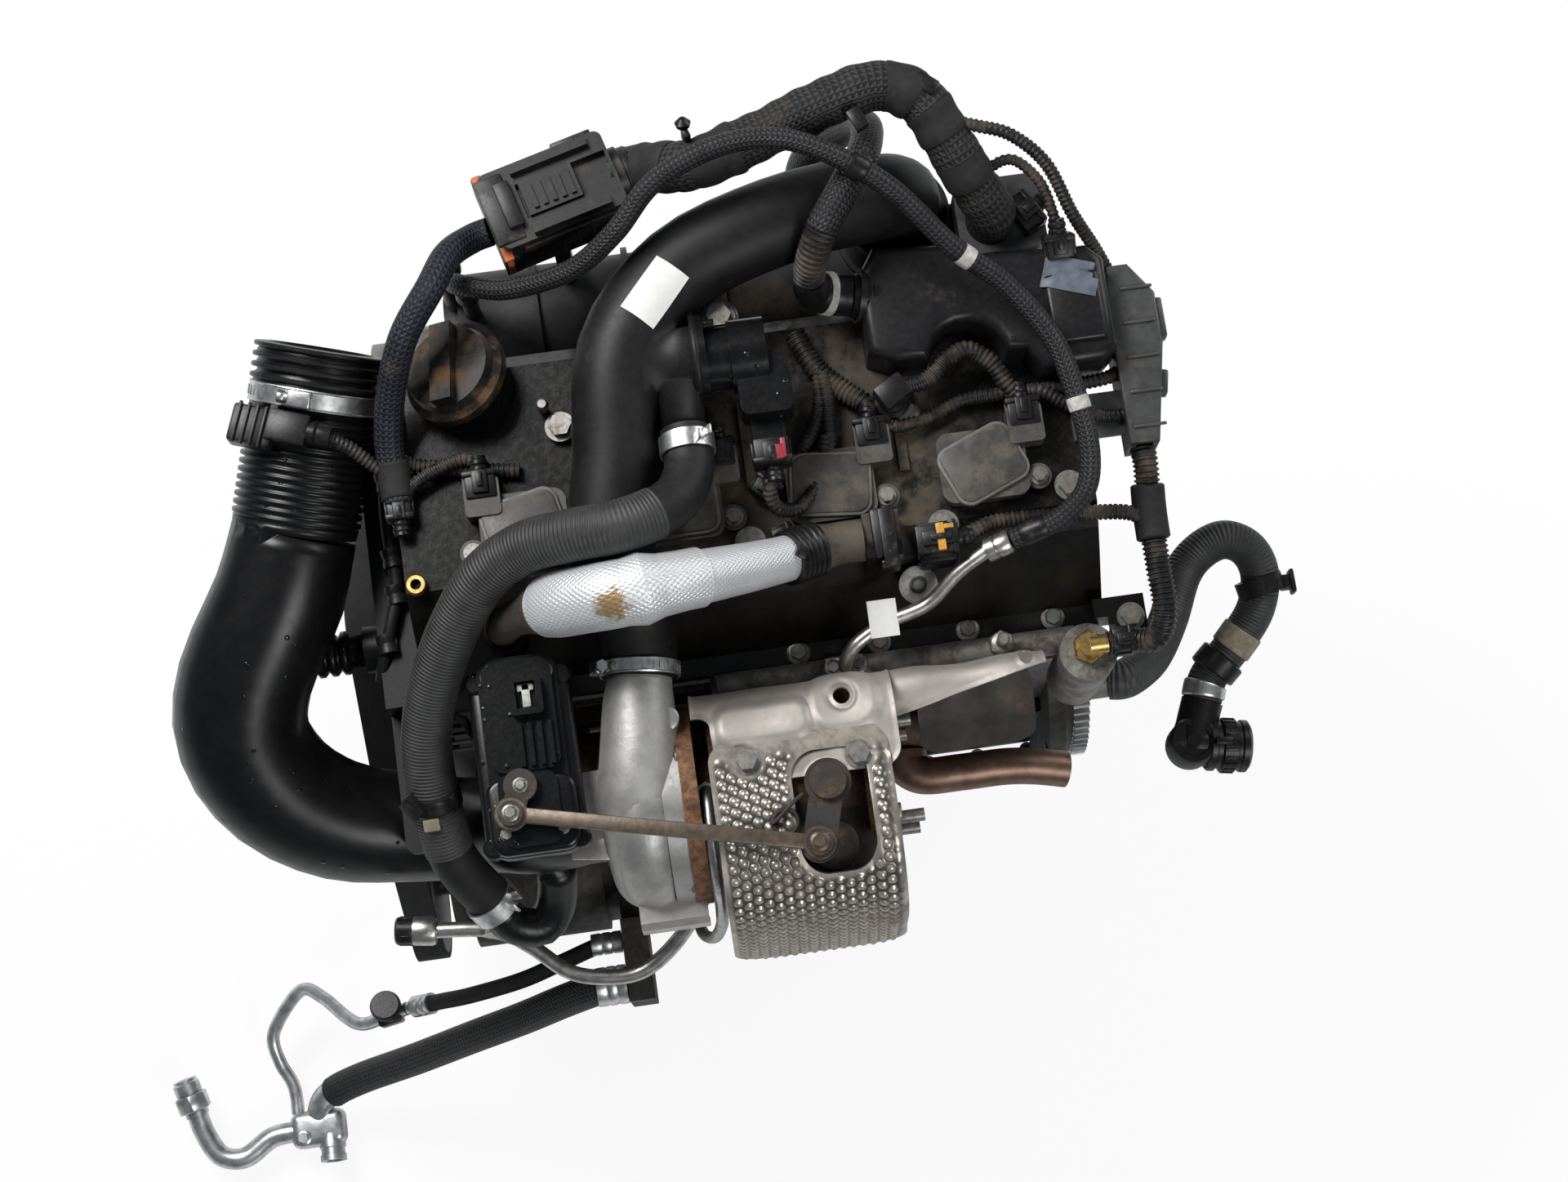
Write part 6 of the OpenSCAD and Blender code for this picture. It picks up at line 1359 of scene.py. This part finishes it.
class ENGINE_OT_turbo_parts(bpy.types.Operator):
    """Shields, a dark sheet of painted shade under the wing, compressor scroll, actuator rim, link rod, wire spring and
    their screws
    """
    bl_idname = "engine.turbo_parts"
    bl_label = "Turbocharger parts"

    def execute(self, context):
        bm = bmesh.new()
        turbine_sheet(bm)
        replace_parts(piece("dimpled_turbine_shield", bm, "dimpled sheet", sharp=50), "turbine_shield")
        bm = bmesh.new()
        manifold_sheet(bm)
        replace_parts(piece("plain_upper_shield", bm, "plain sheet", sharp=50), "manifold_shield")
        # A dark sheet of painted shade below the wing, where there is only shade
        bm = bmesh.new()
        pressed_sheet(bm, [(-114.9, 503), (-124, 497), (-142, 486), (-156, 468)], 84, 158,
                      lambda u, s, p: -9.0, lambda u, s, p, gap: (0.4 * sin(0.2 * u), 0.5), 1.2)
        piece("painted_shade_apron", bm, "painted shade sheet", sharp=50)
        bm = bmesh.new()
        sweep(bm, along([(-84.5, -100.6, 551, 19.6), (-87, -116, 551, 22), (-90, -142, 549.5, 24),
                         (-94, -168, 546, 24.5),
                         (-95, -192, 537, 24), (-96, -207, 518, 22), (-96, -213, 496, 20.5), (-95, -211, 470, 18),
                         (-93, -203, 452, 15)], 2.0), 40)
        for k, (y, z) in enumerate(((-128, 573), (-190, 562))):
            lathe(bm, [(0, -8), (7.5, -8), (7.5, 0.5 - k), (6, 1.5 - k), (0, 1.5 - k)], at((-71, y, z - 12)), 20)
        piece("compressor_scroll", bm, "cast alloy")
        bm = bmesh.new()
        plate(bm, rounded_outline(-188, -126, -200, -84, 15), 552, 564, 4)
        plate(bm, rounded_outline(-184, -130, -199, -152, 10), 563, 570.5, 3)
        for x, y in ((-183, -92), (-131, -92), (-183, -192), (-131, -192)):
            lathe(bm, [(0, -10), (6.5, -10), (6.5, 3), (5, 4.4), (0, 4.4)], at((x, y, 562)), 20)
        piece("actuator_rim", bm, "valve black")
        bm = bmesh.new()
        near, far = Vector((*ARM_PIN, 584)), Vector((*LEVER_PIN, 584))
        lean = (far - near).normalized()
        turned = Matrix.Rotation(lean.xy.angle_signed(Vector((1, 0))), 4, "Z")
        box(bm, ((far - near).length - 15, 9.4, 4.4), Matrix.Translation((near + far) / 2 * MM) @ turned, 1.4)
        for point, hole in ((near, 4.6), (far, 5.7)):
            lathe(bm, [(hole, -2.4), (9.4, -2.4), (10.2, -1.6), (10.2, 1.6), (9.4, 2.4), (hole, 2.4), (hole, -2.4)],
                  at(point))
        rod = piece("link_rod_bar", bm, "link steel", body="link_rod")
        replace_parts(rod, "link_rod")
        bm = bmesh.new()
        box(bm, (56, 78, 60), spun((21, -200, 512), 0), 12, 4)
        lathe(bm, [(0, 0), (15, 0), (15, 4), (12, 6), (0, 6)], at((19, -216, 542)))
        piece("wastegate_chest", bm, "lever iron")
        loop = [(-9 + 7.5 * cos(radians(g)), -202 + 7.5 * sin(radians(g)), 572.4 + g * 0.0042)
                for g in range(-60, 901, 20)]
        route = [(-24, -210, 571.8), (-14, -209.5, 572.0)] + loop + [(-4, -192, 577), (3.6, -187, 577.5)]
        bm = bmesh.new()
        sweep(bm, along(route, 0.8, 1.3), 12)
        piece("lever_spring", bm, "lever iron")
        bm = bmesh.new()
        box(bm, (5, 14, 3), spun((-152, -106, 579.4), 0), 0.5)
        box(bm, (10, 4, 3), spun((-152, -101, 579.4), 0), 0.5)
        piece("actuator_pins", bm, "pale pins")
        bm = bmesh.new()
        for x in (-174, -140):
            for y in (-90, -186):
                bolt(bm, (x, y, 569), (0, 0, 1), 3.4)
        piece("actuator_screws", bm, "bolt steel")
        bm = bmesh.new()
        bolt(bm, (*ARM_PIVOT, 580.2), (0, 0, 1), 3.2)
        bolt(bm, (*ARM_PIN, seat(*ARM_PIN, "actuator_arm") - 0.5), (0, 0, 1), 3.6)
        piece("arm_screw", bm, "bolt steel", body="actuator_arm")
        bm = bmesh.new()
        bolt(bm, (*LEVER_PIN, seat(*LEVER_PIN, "wastegate_lever") - 0.5), (0, 0, 1), 4)
        piece("lever_screw", bm, "link steel", body="wastegate_lever")
        bm = bmesh.new()
        for k in range(8):
            g = radians(45 * k + 22)
            bolt(bm, (-68.2, -174 + 56 * cos(g), 505 + 56 * sin(g)), (-1, 0, 0), 4)
        piece("compressor_bolts", bm, "bolt steel")
        return {"FINISHED"}


class ENGINE_OT_cover_parts(bpy.types.Operator):
    """Blank label and tag, coil lids, guide lid, cuff ribs, taped plate, clip, stub and the bellows sensor"""
    bl_idname = "engine.cover_parts"
    bl_label = "Cover parts"

    def execute(self, context):
        bm = bmesh.new()
        draped(bm, (-43, 113), (0.666, 0.747), 19, 11.5, ("charge_duct",))
        piece("blank_label", bm, "blank label")
        bm = bmesh.new()
        box(bm, (18, 23, 1.2), at((68, -83, seat(70, -85, "purge_pipe") + 0.5), (0, -0.2, 1)), 0.4)
        piece("blank_tag", bm, "blank label")
        rim, cap = bmesh.new(), bmesh.new()
        for x, turn in ((141, 22), (47, -6), (-47, 0), (-141, 12)):
            lid = spun((x, -1, 571.5), turn)
            plate(rim, rounded_outline(-25, 25, -20, 20, 9), 0, 3.2, 0.8, 2, lid)
            plate(cap, rounded_outline(-23, 23, -18, 18, 7.5), 3, 4.4, 0.6, 2, lid)
        piece("coil_rims", rim, "coil rim")
        piece("coil_caps", cap, "coil grey")
        bm = bmesh.new()
        plate(bm, [(231.5, -2), (250, -2), (262, 60), (262, 92), (248, 112), (235, 112), (231.5, 90)], 572.4, 576.5,
              1.4)
        for y in (8, 30, 52, 74, 96):
            box(bm, (20, 2, 2), spun((245 + 0.06 * y, y, 577), 0), 0.6)
        box(bm, (8, 26, 12), spun((262, 76, 568), 0), 1.5)
        box(bm, (8, 16, 10), spun((258, 36, 566), -11), 1.5)
        piece("guide_lid", bm, "olive plastic")
        bm = bmesh.new()
        cuff = at((-260.8, 102, 556.2), (21, 66, 21))
        for h in (9.5, 16, 22.5, 29):
            lathe(bm, [(36.5, h - 1.9), (40.6, h - 1.4), (41.2, h - 0.7), (41.2, h + 0.7), (40.6, h + 1.4),
                       (36.5, h + 1.9)], cuff, 72)
        piece("intake_cuff_ribs", bm, "satin black")
        bm = bmesh.new()
        draped(bm, (209, 102), (1, -0.35), 17, 11, ("breather_box",), 0.9)
        piece("taped_plate", bm, "blue tape")
        bm = bmesh.new()
        box(bm, (15, 30, 8), spun((74, -38, 585), 0), 2)
        box(bm, (9, 36, 3), spun((76, -42, 590), 0), 1)
        box(bm, (12, 3, 26), spun((76, -56, 572), 0), 1)
        box(bm, (18, 6, 6), spun((76, -24, 577), 0), 1.4)
        piece("strap_clip", bm, "plug black")
        bm = bmesh.new()
        base = seat(-171, 172, "intake_manifold")
        top = 566 - base
        lathe(bm, [(0, -3), (7, -3), (7, top - 14), (5.5, top - 12), (5.5, top - 6), (10.5, top - 5), (10.5, top + 2),
                   (8, top + 5), (0, top + 5)], at((-171, 172, base)))
        piece("capped_stub", bm, "satin black")
        bm = bmesh.new()
        z = seat(-287, 80, "intake_pipe")
        box(bm, (26, 24, 16), spun((-296, 80, z + 1), -20), 2)
        box(bm, (26, 20, 13), spun((-274, 74, z + 8), -20), 2)
        box(bm, (5, 27, 19), spun((-284, 77, z + 3), -20), 1)
        for k in range(4):
            box(bm, (2, 26, 3), spun((-304 + 5 * k, 83 - 2 * k, z + 9), -20), 0.5)
        lathe(bm, [(0, 0), (7, 0), (7, 4), (6, 5), (7, 6), (7, 10), (6, 14), (0, 14)],
              at((-262, 70, z + 8), (1, -0.36, 0)), 20)
        piece("bellows_sensor", bm, "plug black")
        bm = bmesh.new()
        conduit(bm, [(-252, 66, z + 8), (-240, 60, z - 2), (-228, 50, 574), (-216, 40, 570)], 4.5)
        piece("bellows_sensor_lead", bm, "conduit")
        return {"FINISHED"}


class ENGINE_PT_panel(bpy.types.Panel):
    """Steps that dress the engine"""
    bl_idname = "ENGINE_PT_panel"
    bl_label = "Engine"
    bl_space_type = "VIEW_3D"
    bl_region_type = "UI"
    bl_category = "Engine"

    def draw(self, context):
        for operator in OPERATORS:
            self.layout.operator(operator.bl_idname)


OPERATORS = (ENGINE_OT_stage, ENGINE_OT_free_hoses, ENGINE_OT_solids, ENGINE_OT_air_side, ENGINE_OT_looms,
             ENGINE_OT_plugs, ENGINE_OT_clamps, ENGINE_OT_pipes, ENGINE_OT_fasteners, ENGINE_OT_turbo_parts,
             ENGINE_OT_cover_parts)
CLASSES = (EngineFinishes, EngineSizes, *OPERATORS, ENGINE_PT_panel)


def register():
    for cls in CLASSES:
        bpy.utils.register_class(cls)
    bpy.types.Scene.engine_finishes = PointerProperty(type=EngineFinishes)
    bpy.types.Scene.engine_sizes = PointerProperty(type=EngineSizes)


def unregister():
    del bpy.types.Scene.engine_sizes
    del bpy.types.Scene.engine_finishes
    for cls in reversed(CLASSES):
        bpy.utils.unregister_class(cls)


def main():
    register()
    build_groups()
    build_finishes()
    bpy.ops.engine.stage()
    bpy.ops.engine.free_hoses()
    bpy.ops.engine.solids()
    bpy.ops.engine.air_side()
    bpy.ops.engine.looms()
    bpy.ops.engine.plugs()
    bpy.ops.engine.clamps()
    bpy.ops.engine.pipes()
    bpy.ops.engine.fasteners()
    bpy.ops.engine.turbo_parts()
    bpy.ops.engine.cover_parts()


if __name__ == "__main__":
    main()
